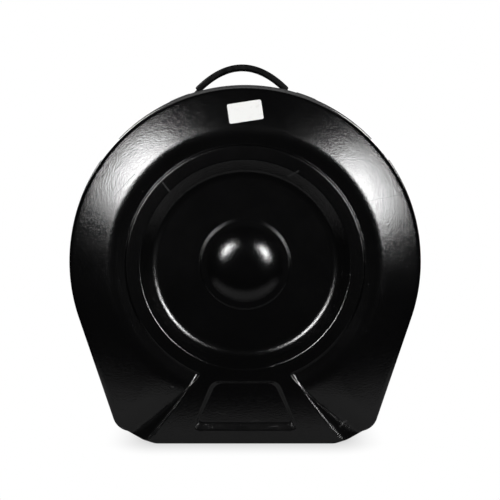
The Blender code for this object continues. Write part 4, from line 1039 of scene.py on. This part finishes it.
def turned(corners, steps=48, closed=False):
    """Body turned about Z from (radius, height, setback, steps) corners; a closed line makes a ring."""
    line = rounded_line(corners)
    bm = bmesh.new()
    verts = [bm.verts.new((spot.x, 0, spot.y)) for spot in line]
    edges = [bm.edges.new(pair) for pair in zip(verts, verts[1:])]
    if closed:
        edges.append(bm.edges.new((verts[-1], verts[0])))
    bmesh.ops.spin(bm, geom=verts + edges, axis=(0, 0, 1), cent=(0, 0, 0), angle=math.tau, steps=steps,
                   use_merge=True, use_duplicate=False)
    poles = [vert for vert in bm.verts if math.hypot(vert.co.x, vert.co.y) < WELD]
    bmesh.ops.remove_doubles(bm, verts=poles, dist=WELD)
    bmesh.ops.recalc_face_normals(bm, faces=bm.faces)
    return bm


def facing(spot, way):
    """Frame at a spot with its Z along a direction."""
    return Matrix.Translation(spot) @ Vector(way).to_track_quat('Z', 'Y').to_matrix().to_4x4()


def rivet_head(radius, height):
    """Domed rivet head standing on Z = 0."""
    dome = [(radius * math.cos(a), 0.15 * height + 0.85 * height * math.sin(a))
            for a in (math.pi / 2 * i / 7 for i in range(7))]
    return turned([(0, 0), (radius, 0), *dome, (0, height)], 28)


for hand, word in HANDS:
    cap = object_from(cap_body(hand), "handle_end_cap_" + word)
    combine(cap, [('DIFFERENCE', [cap_slot(hand)])])
    finish_piece(cap, plated_steel, "back_shell", ("handle_cap_" + word,))
    for distance, spot in ((CAP_RIVET_MARGIN, "inner"), (CAP_LENGTH - CAP_RIVET_MARGIN, "outer")):
        x = cap_x(hand, distance)
        way = rim_direction(x) + Vector((0, math.tan(DRAFT), 0))
        rivet = placed(rivet_head(CAP_RIVET_RADIUS, CAP_RIVET_HEIGHT),
                       facing(on_rim(x, 0, CAP_THICKNESS + FIT_GAP), way))
        finish_piece(object_from(rivet, "cap_rivet_%s_%s" % (word, spot)), plated_steel, "back_shell",
                     ("handle_rivet_%s_%s" % (word, spot),))


# Handle strap. A flat spring-steel band with blackened skin runs from cap to cap through the grip; its
# ends slide out of the caps as the handle is lifted. Its edges are rounded and rubbed bright in places.
GRIP_X = -0.0055
GRIP_HALF_SPAN = 0.079
GRIP_RISE = 0.0395
GRIP_APEX = 0.654
STRAP_TUCK = 0.014
STRAP_EDGE = 0.0006
STRAP_STEPS = 24
TAIL_STEPS = 12
TUCK_STEPS = 5
BLACK_SKIN, BLACK_DULL, BLACK_RUBBED = (0.030, 0.030, 0.031), (0.018, 0.018, 0.019), (0.16, 0.155, 0.15)


def grip_point(share):
    """Middle of the grip as (x, z) at a share from -1 at its left end to 1 at its right end."""
    return Vector((GRIP_X + GRIP_HALF_SPAN * share, GRIP_APEX - GRIP_RISE * share ** 2))


def strap_tail(hand):
    """Strap from inside a cap up to the end of the grip."""
    inside = []
    for i in range(TUCK_STEPS + 1):
        way = rim_direction(cap_x(hand, STRAP_TUCK * (TUCK_STEPS - i) / TUCK_STEPS))
        reach = seat_radius(HANDLE_Y - STRAP_HALF_WIDTH) + STRAP_THICKNESS / 2
        inside.append(Vector((way.x * reach, CENTRE_HEIGHT + way.z * reach)))
    mouth, grip_end = inside[-1], grip_point(hand)
    way = mouth - inside[-2]
    slope = Vector((1, -2 * GRIP_RISE / GRIP_HALF_SPAN * hand))
    gap = grip_end - mouth
    meeting = mouth + way * ((gap.x * slope.y - gap.y * slope.x) / (way.x * slope.y - way.y * slope.x))
    shares = [i / TAIL_STEPS for i in range(1, TAIL_STEPS + 1)]
    return inside + [mouth * (1 - t) ** 2 + meeting * 2 * t * (1 - t) + grip_end * t ** 2 for t in shares]


def heading(route, i):
    """Direction of a route at one of its places."""
    return (route[min(i + 1, len(route) - 1)] - route[max(i - 1, 0)]).normalized()


def swept(route, sections):
    """Body along a route in X and Z, with a section of (across, out) pairs at each place."""
    rings = []
    for i, (spot, section) in enumerate(zip(route, sections)):
        way = heading(route, i)
        rings.append([Vector((spot.x - way.y * height, HANDLE_Y + across, spot.y + way.x * height))
                      for across, height in section])
    return grow_rings(rings)


strap_middle = [grip_point(-1 + i / STRAP_STEPS) for i in range(1, 2 * STRAP_STEPS)]
strap_route = strap_tail(-1) + strap_middle + list(reversed(strap_tail(1)))
strap_corners = rectangle((-STRAP_HALF_WIDTH, -STRAP_THICKNESS / 2), (STRAP_HALF_WIDTH, STRAP_THICKNESS / 2))
strap_section = rounded_outline(strap_corners, STRAP_EDGE, 3)
strap = object_from(swept(strap_route, [strap_section] * len(strap_route)), "handle_band")
black_steel = metal_finish("black_steel", BLACK_SKIN, BLACK_DULL, 0.34, BLACK_RUBBED, 0.66)
finish_piece(strap, black_steel, "handle", ("handle_strap",))


# Handle grip. A moulded black rubber sleeve over the strap: rounded edges, a raised bead along each side
# of its top, ends rolled over, and a slot right through for the strap.
GRIP_HALF_WIDTH = 0.0125
GRIP_HALF_THICKNESS = 0.00525
GRIP_CORNER = 0.003
GRIP_CORNER_STEPS = 7
GRIP_END_ROUND = 0.0024
GRIP_STEPS = 64
GRIP_SLOT_OVERSHOOT = 1.04
# Half of the trough along the grip's top: how far across, and how far down.
GRIP_TROUGH = ((0.0086, 0), (0.0081, -0.0003), (0.0076, -0.0005), (0.0050, -0.0005), (0.0020, -0.0004))
RUBBER_BLACK = (0.0012, 0.0012, 0.0013)
RUBBER_DUSTY = (0.0035, 0.0035, 0.0034)


def grip_section(inset):
    """Section of the grip as (across, out): a rounded bar with a trough between its two upper corners."""
    half, thick = GRIP_HALF_WIDTH - inset, GRIP_HALF_THICKNESS - inset
    body = rounded_outline(rectangle((-half, -thick), (half, thick)), GRIP_CORNER - inset / 2, GRIP_CORNER_STEPS)
    left_corner = 3 * (GRIP_CORNER_STEPS + 1)
    top = [Vector((across, thick + dip)) for across, dip in GRIP_TROUGH]
    top += [Vector((-spot.x, spot.y)) for spot in reversed(top)]
    return body[:left_corner] + top + body[left_corner:]


grip_ends = [(GRIP_END_ROUND * (1 - math.cos(a)), GRIP_END_ROUND * (1 - math.sin(a))) for a in QUARTER]
end_speed = math.hypot(GRIP_HALF_SPAN, 2 * GRIP_RISE)
grip_course = [(-1 + distance / end_speed, inset) for distance, inset in grip_ends]
grip_course += [(-1 + 2 * i / GRIP_STEPS, 0) for i in range(2, GRIP_STEPS - 1)]
grip_course += [(1 - distance / end_speed, inset) for distance, inset in reversed(grip_ends)]
grip = object_from(swept([grip_point(share) for share, inset in grip_course],
                         [grip_section(inset) for share, inset in grip_course]), "handle_sleeve")
grip_slot = rectangle((-STRAP_HALF_WIDTH - FIT_GAP, -STRAP_THICKNESS / 2 - FIT_GAP),
                      (STRAP_HALF_WIDTH + FIT_GAP, STRAP_THICKNESS / 2 + FIT_GAP))
slot_route = [grip_point(GRIP_SLOT_OVERSHOOT * (2 * i / GRIP_STEPS - 1)) for i in range(GRIP_STEPS + 1)]
combine(grip, [('DIFFERENCE', [swept(slot_route, [grip_slot] * len(slot_route))])])

rubber, tree, shader, place = material_base("grip_rubber")
pebble = add_node(tree, "ShaderNodeTexVoronoi", {"Vector": place, "Scale": 900.0}).outputs["Distance"]
cloud = noise(tree, place, 60.0, 5.0, 0.6)
feed(tree, shader, {
    "Base Color": two_tones(tree, ramp_between(tree, cloud, 0.55, 0.75), RUBBER_BLACK, RUBBER_DUSTY),
    "Roughness": ramp_between(tree, cloud, 0.3, 0.7, 0.24, 0.34),
    "Normal": bumped(tree, pebble, 0.15, 0.0002),
    "Specular IOR Level": 0.2,
})
finish_piece(grip, rubber, "handle", ("handle_grip",))


# Hinges. Two small plated-steel butt hinges under the foot. Each leaf is stamped from one sheet, its
# knuckles curled round a loose pin, and held from below by three cross-head screws.
HINGE_X = 0.090
HINGE_HEIGHT = 0.0085
LEAF_HALF = 0.025
LEAF_DEPTH = 0.020
LEAF_LEVELS = (0.0014, 0.0032)
LEAF_CORNER = 0.0030
LEAF_CORNER_STEPS = 6
LEAF_EDGE = 0.0002
KNUCKLE_RADIUS = 0.0032
KNUCKLE_PITCH = 0.010
PIN_BORE = 0.0018
PIN_RADIUS = 0.0015
HINGE_PIN_HALF = 0.026
HINGE_SCREWS = ((-0.0165, 0.0130), (0.0, 0.0150), (0.0165, 0.0130))
HINGE_SCREW_RADIUS = 0.0022
HINGE_SCREW_HEIGHT = 0.0011
# Countersink of a screw hole as (radius, height) from the sheet's underside.
SINK = [(0, -0.0009), (0.0024, -0.0009), (0.0028, 0.0004), (0, 0.0004)]
SINK_DEPTH = 0.0008
DOWNWARDS = Matrix.Rotation(math.pi, 4, 'X')


def cylinder(radius, ends, centre=(0, 0), steps=32):
    """Cylinder along X between two places, centred on a (y, z) spot."""
    ring = arc_points(centre, radius, 0, math.tau * (steps - 1) / steps, steps - 1)
    return along_x(ring, ends)


def block(low, high):
    """Plain box between two corners, as a cutter or to be softened."""
    return along_x(rectangle((low[1], low[2]), (high[1], high[2])), (low[0], high[0]))


def softened(thing, width, steps=3):
    """Round every sharp edge of a piece."""
    bevel = thing.modifiers.new("soft_edges", 'BEVEL')
    bevel.angle_limit = math.radians(40)
    bevel.width = width
    bevel.segments = steps
    settle(thing)


def cross_screw(name, radius, height, frame, body, replaced=()):
    """Screw head with a low dome and a cross recess, standing on a frame."""
    rise = 0.4 * height
    dome = [(radius * math.cos(a), height - rise + rise * math.sin(a))
            for a in (math.pi / 2 * i / 8 for i in range(9))]
    head = object_from(turned([(0, 0), (radius, 0)] + dome, 36), name)
    arm, width, depth = radius * 0.58, radius * 0.13, min(height, radius) * 0.55
    bars = [block((-arm, -width, height - depth), (arm, width, 2 * height)),
            block((-width, -arm, height - depth), (width, arm, 2 * height))]
    combine(head, [('DIFFERENCE', bars[:1]), ('DIFFERENCE', bars[1:])])
    head.data.transform(frame)
    finish_piece(head, plated_steel, body, replaced)


def loose_pin(name, half, chamfer, frame, node):
    """Plated pin along X with rounded ends."""
    rod = turned([(0, -half), (PIN_RADIUS, -half, chamfer, 4), (PIN_RADIUS, half, chamfer, 4), (0, half)], 32)
    placed(rod, frame @ Matrix.Rotation(math.pi / 2, 4, 'Y'))
    finish_piece(object_from(rod, name), plated_steel, "back_shell", (node,))


def hinge_leaf(name, side, knuckles, frame, body, node):
    """One leaf as a sheet with curled knuckles, cleared round the other leaf's knuckles."""
    corners = [(x, side * y) for x, y in rectangle((-LEAF_HALF, 0.001), (LEAF_HALF, LEAF_DEPTH))]
    far_corners = rounded_outline(corners, LEAF_CORNER, LEAF_CORNER_STEPS)[2 * (LEAF_CORNER_STEPS + 1):]
    sheet = [(-LEAF_HALF, 0), (LEAF_HALF, 0)] + [tuple(spot) for spot in far_corners]
    leaf = object_from(grow_rings([[Vector((x, y, z)) for x, y in sheet] for z in LEAF_LEVELS]), name)
    barrels, gaps, sinks = [], [], []
    for index in range(5):
        start = -LEAF_HALF + KNUCKLE_PITCH * index
        end = start + KNUCKLE_PITCH
        if index in knuckles:
            barrels.append(cylinder(KNUCKLE_RADIUS, (start + FIT_GAP / 2, end - FIT_GAP / 2)))
        else:
            reach = KNUCKLE_RADIUS + FIT_GAP
            gaps.append(block((start - FIT_GAP / 2, -reach, -reach), (end + FIT_GAP / 2, reach, reach)))
    for x, y in HINGE_SCREWS:
        sinks.append(placed(turned(SINK, 32), Matrix.Translation((x, side * y, LEAF_LEVELS[0])) @ DOWNWARDS))
    bore = cylinder(PIN_BORE, (-LEAF_HALF - 0.001, LEAF_HALF + 0.001))
    combine(leaf, [('UNION', barrels), ('DIFFERENCE', gaps), ('DIFFERENCE', sinks), ('DIFFERENCE', [bore])])
    softened(leaf, LEAF_EDGE, 2)
    leaf.data.transform(frame)
    finish_piece(leaf, plated_steel, body, (node,))
    for index, (x, y) in enumerate(HINGE_SCREWS):
        seat = frame @ Matrix.Translation((x, side * y, LEAF_LEVELS[0] + SINK_DEPTH)) @ DOWNWARDS
        cross_screw("%s_screw_%d" % (name, index + 1), HINGE_SCREW_RADIUS, HINGE_SCREW_HEIGHT, seat, body)


for hand, word in HANDS:
    hinge_frame = Matrix.Translation((hand * HINGE_X, PARTING_Y, HINGE_HEIGHT))
    hinge_leaf("hinge_leaf_rear_" + word, 1, (0, 2, 4), hinge_frame, "back_shell", "hinge_rear_leaf_" + word)
    hinge_leaf("hinge_leaf_front_" + word, -1, (1, 3), hinge_frame, "lid", "hinge_front_leaf_" + word)
    loose_pin("hinge_rod_" + word, HINGE_PIN_HALF, 0.0005, hinge_frame, "hinge_pin_" + word)


# Draw latches. A black painted steel base with two ears, a folded lever that turns on a plated pin, a
# bent wire bail, and a hooked keeper plate on the lid. Base and keeper are held by domed rivets.
PLATE_FLOOR = 0.2983
PLATE_TOP = 0.2998
PLATE_HALF = 0.0195
PLATE_CORNER = 0.0025
PLATE_EDGE = 0.0003
BASE_SPAN = (0.003, 0.036)
BASE_RIVETS = ((-0.0145, 0.0078), (0.0145, 0.0078), (-0.0145, 0.0312), (0.0145, 0.0312))
EAR_SPAN = (0.0064, 0.0082)
EAR_FOOT = [(0.0145, 0.2990), (0.0215, 0.2990)]
EAR_ROUND = 0.0030
EAR_CENTRES = ((0.0185, 0.3030), (0.0175, 0.3030))
PIVOT = Vector((0, 0.018, 0.3045))
LEVER_HALF = 0.0105
LEVER_SHEET = 0.002
LEVER_TOP = 0.0038
LEVER_EDGE = 0.00035
LEVER_HOLLOW_END = 0.018
LEVER_WINDOW_END = 0.0044
LEVER_CUT = 0.01
# Skirt, flat top and finger tab of the lever as (y, z) from its pivot.
LEVER_ARM = ((0.0038, -0.0042), (0.0125, -0.0042), (0.020, 0.0018), (0.025, 0.0018), (0.030, 0.0030),
             (0.030, 0.0050), (0.025, 0.0038))
LATCH_PIN_HALF = 0.0107
BORE_REACH = (-0.02, 0.02)
BAIL_PIVOT = (0.008, -0.0015)
BAIL_RADIUS = 0.00125
BAIL_STEPS = 20
# Half of the wire's middle line: where it starts, then the centre and radius of each bend.
BAIL_START = (0.00885, 0)
BAIL_SHOULDER = ((0.01075, -0.0019), 0.0019)
BAIL_CORNER = ((0.00865, -0.03835), 0.0040)
KEEPER_SPAN = (-0.0185, -0.0065)
KEEPER_LIP = ((-0.009, -0.0145, 0.2990), (0.009, -0.0125, 0.304))
KEEPER_RIVETS = ((-0.0150, -0.0125), (0.0150, -0.0125))
PLATE_RIVET_RADIUS = 0.0028
PLATE_RIVET_HEIGHT = 0.0012
PAINT_BLACK, PAINT_DULL, PAINT_CHIPPED = (0.0040, 0.0040, 0.0042), (0.0026, 0.0026, 0.0027), (0.22, 0.21, 0.20)

latch_paint = metal_finish("latch_paint", PAINT_BLACK, PAINT_DULL, 0.30, PAINT_CHIPPED, 0.68)


def plate_body(start, end):
    """Latch plate with rounded corners between two places along Y."""
    outline = rounded_outline(rectangle((-PLATE_HALF, start), (PLATE_HALF, end)), PLATE_CORNER)
    return grow_rings([[Vector((*spot, z)) for spot in outline] for z in (PLATE_FLOOR, PLATE_TOP)])


def plate_rivets(name, spots, frame, body):
    """Domed rivets on a latch plate."""
    for index, spot in enumerate(spots):
        head = placed(rivet_head(PLATE_RIVET_RADIUS, PLATE_RIVET_HEIGHT),
                      frame @ Matrix.Translation((*spot, PLATE_TOP)))
        finish_piece(object_from(head, "%s_%d" % (name, index + 1)), plated_steel, body)


def latch_base(word, frame):
    """Base plate with two ears for the lever's pin."""
    base = object_from(plate_body(*BASE_SPAN), "latch_plate_" + word)
    ear = EAR_FOOT + arc_points(EAR_CENTRES[0], EAR_ROUND, 0, math.pi / 2, 6)
    ear += arc_points(EAR_CENTRES[1], EAR_ROUND, math.pi / 2, math.pi, 6)
    ears = [along_x(ear, sorted((side * EAR_SPAN[0], side * EAR_SPAN[1]))) for side in (-1, 1)]
    combine(base, [('UNION', ears), ('DIFFERENCE', [cylinder(PIN_BORE, BORE_REACH, PIVOT.yz)])])
    softened(base, PLATE_EDGE, 2)
    base.data.transform(frame)
    finish_piece(base, latch_paint, "back_shell", ("latch_base_" + word,))
    plate_rivets("latch_rivet_" + word, BASE_RIVETS, frame, "back_shell")


def latch_lever(word, frame):
    """Lever folded from sheet: round nose, skirts, flat top and a raised finger tab."""
    profile = arc_points((0, 0), LEVER_TOP, math.pi / 2, 3 * math.pi / 2, 14) + [Vector(p) for p in LEVER_ARM]
    lever = object_from(along_x(profile, (-LEVER_HALF, LEVER_HALF)), "latch_arm_" + word)
    inner = LEVER_HALF - LEVER_SHEET
    corner = (-inner, -LEVER_CUT, -LEVER_CUT)
    hollow = block(corner, (inner, LEVER_HOLLOW_END, LEVER_TOP - LEVER_SHEET))
    window = block(corner, (inner, LEVER_WINDOW_END, LEVER_CUT))
    bores = [cylinder(PIN_BORE, BORE_REACH), cylinder(BAIL_RADIUS + FIT_GAP, BORE_REACH, BAIL_PIVOT)]
    combine(lever, [('DIFFERENCE', [hollow]), ('DIFFERENCE', [window]), ('DIFFERENCE', bores)])
    softened(lever, LEVER_EDGE)
    pivot_frame = frame @ Matrix.Translation(PIVOT)
    lever.data.transform(pivot_frame)
    finish_piece(lever, latch_paint, "latch_lever_" + word, ("latch_lever_" + word,))
    loose_pin("latch_rod_" + word, LATCH_PIN_HALF, 0.0004, pivot_frame, "latch_pin_" + word)


def bail_wire(word, frame):
    """Wire bent from trunnion to trunnion round the cross bar that hooks behind the keeper."""
    half = [Vector(BAIL_START)] + arc_points(*BAIL_SHOULDER, math.pi / 2, 0, 8)
    half += arc_points(*BAIL_CORNER, 0, -math.pi / 2, 10)
    route = half + [Vector((-spot.x, spot.y)) for spot in reversed(half)]
    last = BAIL_STEPS - 1
    sides = arc_points((0, 0), BAIL_RADIUS, 0, math.tau * last / BAIL_STEPS, last)
    rings = []
    for i, spot in enumerate(route):
        way = heading(route, i)
        rings.append([Vector((spot.x - way.y * side.x, spot.y + way.x * side.x, side.y)) for side in sides])
    bail = object_from(grow_rings(rings), "latch_wire_" + word)
    bail.data.transform(frame @ Matrix.Translation(PIVOT + Vector((0, *BAIL_PIVOT))))
    finish_piece(bail, plated_steel, "latch_bail_" + word, ("latch_bail_" + word,))


def latch_keeper(word, frame):
    """Keeper plate with the lip that the bail hooks behind."""
    keeper = object_from(plate_body(*KEEPER_SPAN), "latch_hook_" + word)
    combine(keeper, [('UNION', [block(*KEEPER_LIP)])])
    softened(keeper, PLATE_EDGE, 2)
    keeper.data.transform(frame)
    finish_piece(keeper, latch_paint, "lid", ("latch_keeper_" + word,))
    plate_rivets("keeper_rivet_" + word, KEEPER_RIVETS, frame, "lid")


for hand, word in HANDS:
    for make in (latch_base, latch_lever, bail_wire, latch_keeper):
        make(word, latch_frame(hand))


# Centre post. A plated-steel flange turned in one with the post, screwed inside the back shell's bell by
# four pan-head screws. The post's front half carries a rolled thread for the wing nut.
POST_SEAT_Y = 0.0707
POST_RADIUS = 0.005
POST_TIP = 0.0041
POST_LENGTH = 0.1077
THREAD_START = 0.0617
THREAD_END = 0.1070
THREAD_PITCH = 0.0015
THREAD_DEPTH = 0.0005
THREAD_FLANK = 2.6
THREAD_GAP = 0.00002
THREAD_ROWS = 10
POST_STEPS = 40
FLANGE_FRONT_Y = 0.0664
BOLT_CIRCLE = 0.024
BOLT_RADIUS = 0.004
BOLT_HEIGHT = 0.002
# Flange and plain shank as (radius, height) from the seat.
POST_LINE = ((0.0305, 0), (0.0317, 0.0006), (0.032, 0.0018), (0.032, 0.0030), (0.0314, 0.0037), (0.0302, 0.004),
             (0.0066, 0.004), (0.0057, 0.0043), (0.0052, 0.0049), (POST_RADIUS, 0.0058), (POST_RADIUS, 0.0600))


def axis_frame(y):
    """Local Z points to the front along the case's axis."""
    return Matrix.Translation((0, y, CENTRE_HEIGHT)) @ Matrix.Rotation(math.pi / 2, 4, 'X')


def thread_radius(height, turn):
    """Radius of the threaded post at a height and a share of a turn, fading in at both ends."""
    phase = (height / THREAD_PITCH - turn) % 1
    ridge = min(1, THREAD_FLANK * abs(phase - 0.5))
    fade = min(1, (height - THREAD_START) / THREAD_PITCH, (THREAD_END - height) / THREAD_PITCH)
    return POST_RADIUS - THREAD_GAP - THREAD_DEPTH * ridge * max(0, fade)


def post_ring(height, radii):
    """Ring of the post at a height, with a radius for each step round it."""
    turns = [math.tau * i / POST_STEPS for i in range(POST_STEPS)]
    return [Vector((radius * math.cos(a), radius * math.sin(a), height)) for radius, a in zip(radii, turns)]


post_rings = [post_ring(height, [radius] * POST_STEPS) for radius, height in POST_LINE]
thread_count = round((THREAD_END - THREAD_START) / THREAD_PITCH * THREAD_ROWS)
for k in range(thread_count + 1):
    height = THREAD_START + (THREAD_END - THREAD_START) * k / thread_count
    post_rings.append(post_ring(height, [thread_radius(height, i / POST_STEPS) for i in range(POST_STEPS)]))
post_rings.append(post_ring(POST_LENGTH, [POST_TIP] * POST_STEPS))
post = object_from(grow_rings(post_rings), "threaded_post")
post.data.transform(axis_frame(POST_SEAT_Y))
finish_piece(post, plated_steel, "back_shell", ("centre_post",), 50.0)
for index in range(4):
    angle = math.tau * (index + 0.5) / 4
    seat = Vector((BOLT_CIRCLE * math.cos(angle), FLANGE_FRONT_Y, CENTRE_HEIGHT + BOLT_CIRCLE * math.sin(angle)))
    cross_screw("flange_bolt_%d" % (index + 1), BOLT_RADIUS, BOLT_HEIGHT, facing(seat, (0, -1, 0)), "back_shell",
                ("flange_screw_%d" % (index + 1),))


# Felt washers and the tube between them. Two pressed wool felts, soft and slightly crowned, and a pale
# nylon sleeve that keeps the cymbals off the thread.
# Soft rings are given as bore, radius, thickness, crown and edge.
FELT_RING = (0.0053, 0.019, 0.008, 0.0005, 0.0016)
HOLD_DOWN_Y = 0.004
FELT_DARK = (0.045, 0.045, 0.047)
FELT_LIGHT = (0.12, 0.12, 0.12)
SLEEVE_SEAT_Y = 0.0581
SLEEVE_LINE = [(0.0053, 0.0010), (0.0053, 0, 0.0003, 3), (0.0068, 0, 0.0004, 4), (0.0068, 0.0481, 0.0004, 4),
               (0.0053, 0.0481, 0.0003, 3), (0.0053, 0.0020)]
NYLON_TONES = (0.50, 0.48, 0.43), (0.58, 0.56, 0.52)

felt_wool, tree, shader, place = material_base("pressed_felt")
hair = join_math(tree, 'MULTIPLY', noise(tree, place, 1400.0, 6.0, 0.75, 1.5), noise(tree, place, 320.0, 4.0))
feed(tree, shader, {
    "Base Color": two_tones(tree, ramp_between(tree, hair, 0.12, 0.40), FELT_DARK, FELT_LIGHT),
    "Roughness": 0.95,
    "Sheen Weight": 0.5,
    "Normal": bumped(tree, hair, 0.6, 0.0005),
})


def crowned_ring(inner, outer, thickness, crown, edge, steps):
    """Soft ring about Z: rounded edges, faces a little crowned between bore and rim."""
    low, high = crown, thickness - crown
    middle = (inner + outer) / 2
    reach = (outer - inner) / 2 - edge
    line = [(inner, low + edge), (inner, high - edge)]
    for start, end, level, sign in ((inner, outer, high, 1), (outer, inner, low, -1)):
        bend = [(start + sign * edge * (1 - math.cos(a)), level - sign * edge * (1 - math.sin(a)))
                for a in QUARTER[1:]]
        arch = []
        for i in range(1, 10):
            radius = start + sign * edge + (end - start - 2 * sign * edge) * i / 10
            arch.append((radius, level + sign * crown * (1 - ((radius - middle) / reach) ** 2)))
        line += bend + arch + [(end - (radius - start), other) for radius, other in reversed(bend)]
        if sign == 1:
            line += [(outer, high - edge), (outer, low + edge)]
    return turned(line, steps, True)


def soft_ring(name, shape, back_y, look, body, node, steps=96):
    """Padded ring of (bore, radius, thickness, crown, edge) on the case's axis."""
    ring = object_from(crowned_ring(*shape, steps), name)
    ring.data.transform(axis_frame(back_y))
    finish_piece(ring, look, body, (node,), 60.0)


soft_ring("felt_washer_seat", FELT_RING, FLANGE_FRONT_Y, felt_wool, "back_shell", "seat_felt")
soft_ring("felt_washer_front", FELT_RING, HOLD_DOWN_Y, felt_wool, "hold_down", "hold_down_felt")

nylon, tree, shader, place = material_base("nylon_tube")
cloud = noise(tree, place, 130.0, 5.0)
feed(tree, shader, {
    "Base Color": two_tones(tree, cloud, *NYLON_TONES),
    "Roughness": ramp_between(tree, cloud, 0.3, 0.7, 0.36, 0.50),
    "Subsurface Weight": 0.15,
    "Subsurface Scale": 0.002,
    "Normal": bumped(tree, cloud, 0.1, 0.0002),
})
sleeve = object_from(turned(SLEEVE_LINE, 64, True), "nylon_sleeve")
sleeve.data.transform(axis_frame(SLEEVE_SEAT_Y))
finish_piece(sleeve, nylon, "back_shell", ("post_sleeve",))


# Cup washer and wing nut. The washer is dished from sheet; the nut is cast in one, with a tapered hub
# and two thick rounded wings, and turns on the post's thread.
CUP_SEAT_Y = -0.0043
CUP_LINE = [(0.0053, 0.0012), (0.0053, 0.0003, 0.0003, 3), (0.0070, 0.0003, 0.0006, 4),
            (0.0120, 0.0, 0.0010, 4), (0.0160, 0.0, 0.0004, 4), (0.0160, 0.0012, 0.0004, 4),
            (0.0122, 0.0014, 0.0010, 4), (0.0076, 0.0025, 0.0008, 4), (0.0053, 0.0025, 0.0004, 4),
            (0.0053, 0.0015)]
NUT_SEAT_Y = -0.0071
NUT_EDGE = 0.0003
HUB_LINE = [(0, 0), (0.009, 0, 0.0006, 4), (0.009, 0.0062, 0.0008, 4), (0.0075, 0.013, 0.0008, 5), (0, 0.013)]
NUT_BORE = [(0, -0.001), (0.0053, -0.001), (0.0053, 0.02), (0, 0.02)]
# Outline of a wing as (across, height), its middle, and how far each layer of its thickness stands in.
WING_LINE = [(0.0062, 0.0033), (0.0090, 0.0033, 0.0015, 4), (0.0238, 0.0098, 0.0040, 6),
             (0.0238, 0.0229, 0.0032, 8), (0.0176, 0.0229, 0.0026, 8), (0.0088, 0.0118, 0.0020, 5),
             (0.0062, 0.0118)]
WING_MIDDLE = Vector((0.0160, 0.0130))
WING_LAYERS = ((-0.0019, 0.0008), (-0.0016, 0.0003), (-0.0009, 0), (0.0009, 0), (0.0016, 0.0003), (0.0019, 0.0008))


def nut_wing(side):
    """One thick wing with its edges rounded over."""
    rings = []
    for depth, inset in WING_LAYERS:
        line = [spot + (WING_MIDDLE - spot).normalized() * inset for spot in rounded_line(WING_LINE)]
        rings.append([Vector((side * spot.x, depth, spot.y)) for spot in line])
    return grow_rings(rings)


cup = object_from(turned(CUP_LINE, 64, True), "dished_washer")
cup.data.transform(axis_frame(CUP_SEAT_Y))
finish_piece(cup, plated_steel, "hold_down", ("cup_washer",))

nut = object_from(turned(HUB_LINE, 56), "wing_nut_cast")
combine(nut, [('UNION', [nut_wing(-1), nut_wing(1)]), ('DIFFERENCE', [turned(NUT_BORE)])])
softened(nut, NUT_EDGE, 2)
nut.data.transform(axis_frame(NUT_SEAT_Y))
finish_piece(nut, plated_steel, "wing_nut", ("wing_nut",))


# Foam rings. Die-cut open-cell foam glued in both shells under the cymbals' edges, a little crowned,
# with open pores, each painted darker in its hollow as painted shade, and a dusty charcoal colour.
FOAM_RING = (0.084, 0.138, 0.010, 0.0008, 0.0025)
FOAM_STEPS = 160
FOAM_BACK_LEVEL = 0.0642
FOAM_FRONT_LEVEL = 0.0242
FOAM_DARK = (0.010, 0.010, 0.011)
FOAM_LIGHT = (0.055, 0.055, 0.058)

foam, tree, shader, place = material_base("open_foam")
cells = add_node(tree, "ShaderNodeTexVoronoi", {"Vector": place, "Scale": 520.0, "Randomness": 1.0})
pores = ramp_between(tree, cells.outputs["Distance"], 0.18, 0.50)
pores = join_math(tree, 'MULTIPLY', pores, noise(tree, place, 900.0, 4.0))
# Painted shade: the tone darkens into each pore's hollow, where the bump is lowest, with a random cloud over it.
tone = join_math(tree, 'ADD', pores, join_math(tree, 'MULTIPLY', noise(tree, place, 22.0, 4.0), 0.4))
feed(tree, shader, {
    "Base Color": two_tones(tree, tone, FOAM_DARK, FOAM_LIGHT),
    "Roughness": 0.96,
    "Sheen Weight": 0.15,
    "Normal": bumped(tree, pores, 0.8, 0.001),
})
soft_ring("foam_pad_back", FOAM_RING, PARTING_Y + FOAM_BACK_LEVEL, foam, "back_shell",
          "foam_ring_back", FOAM_STEPS)
soft_ring("foam_pad_front", FOAM_RING, PARTING_Y - FOAM_FRONT_LEVEL, foam, "lid",
          "foam_ring_front", FOAM_STEPS)
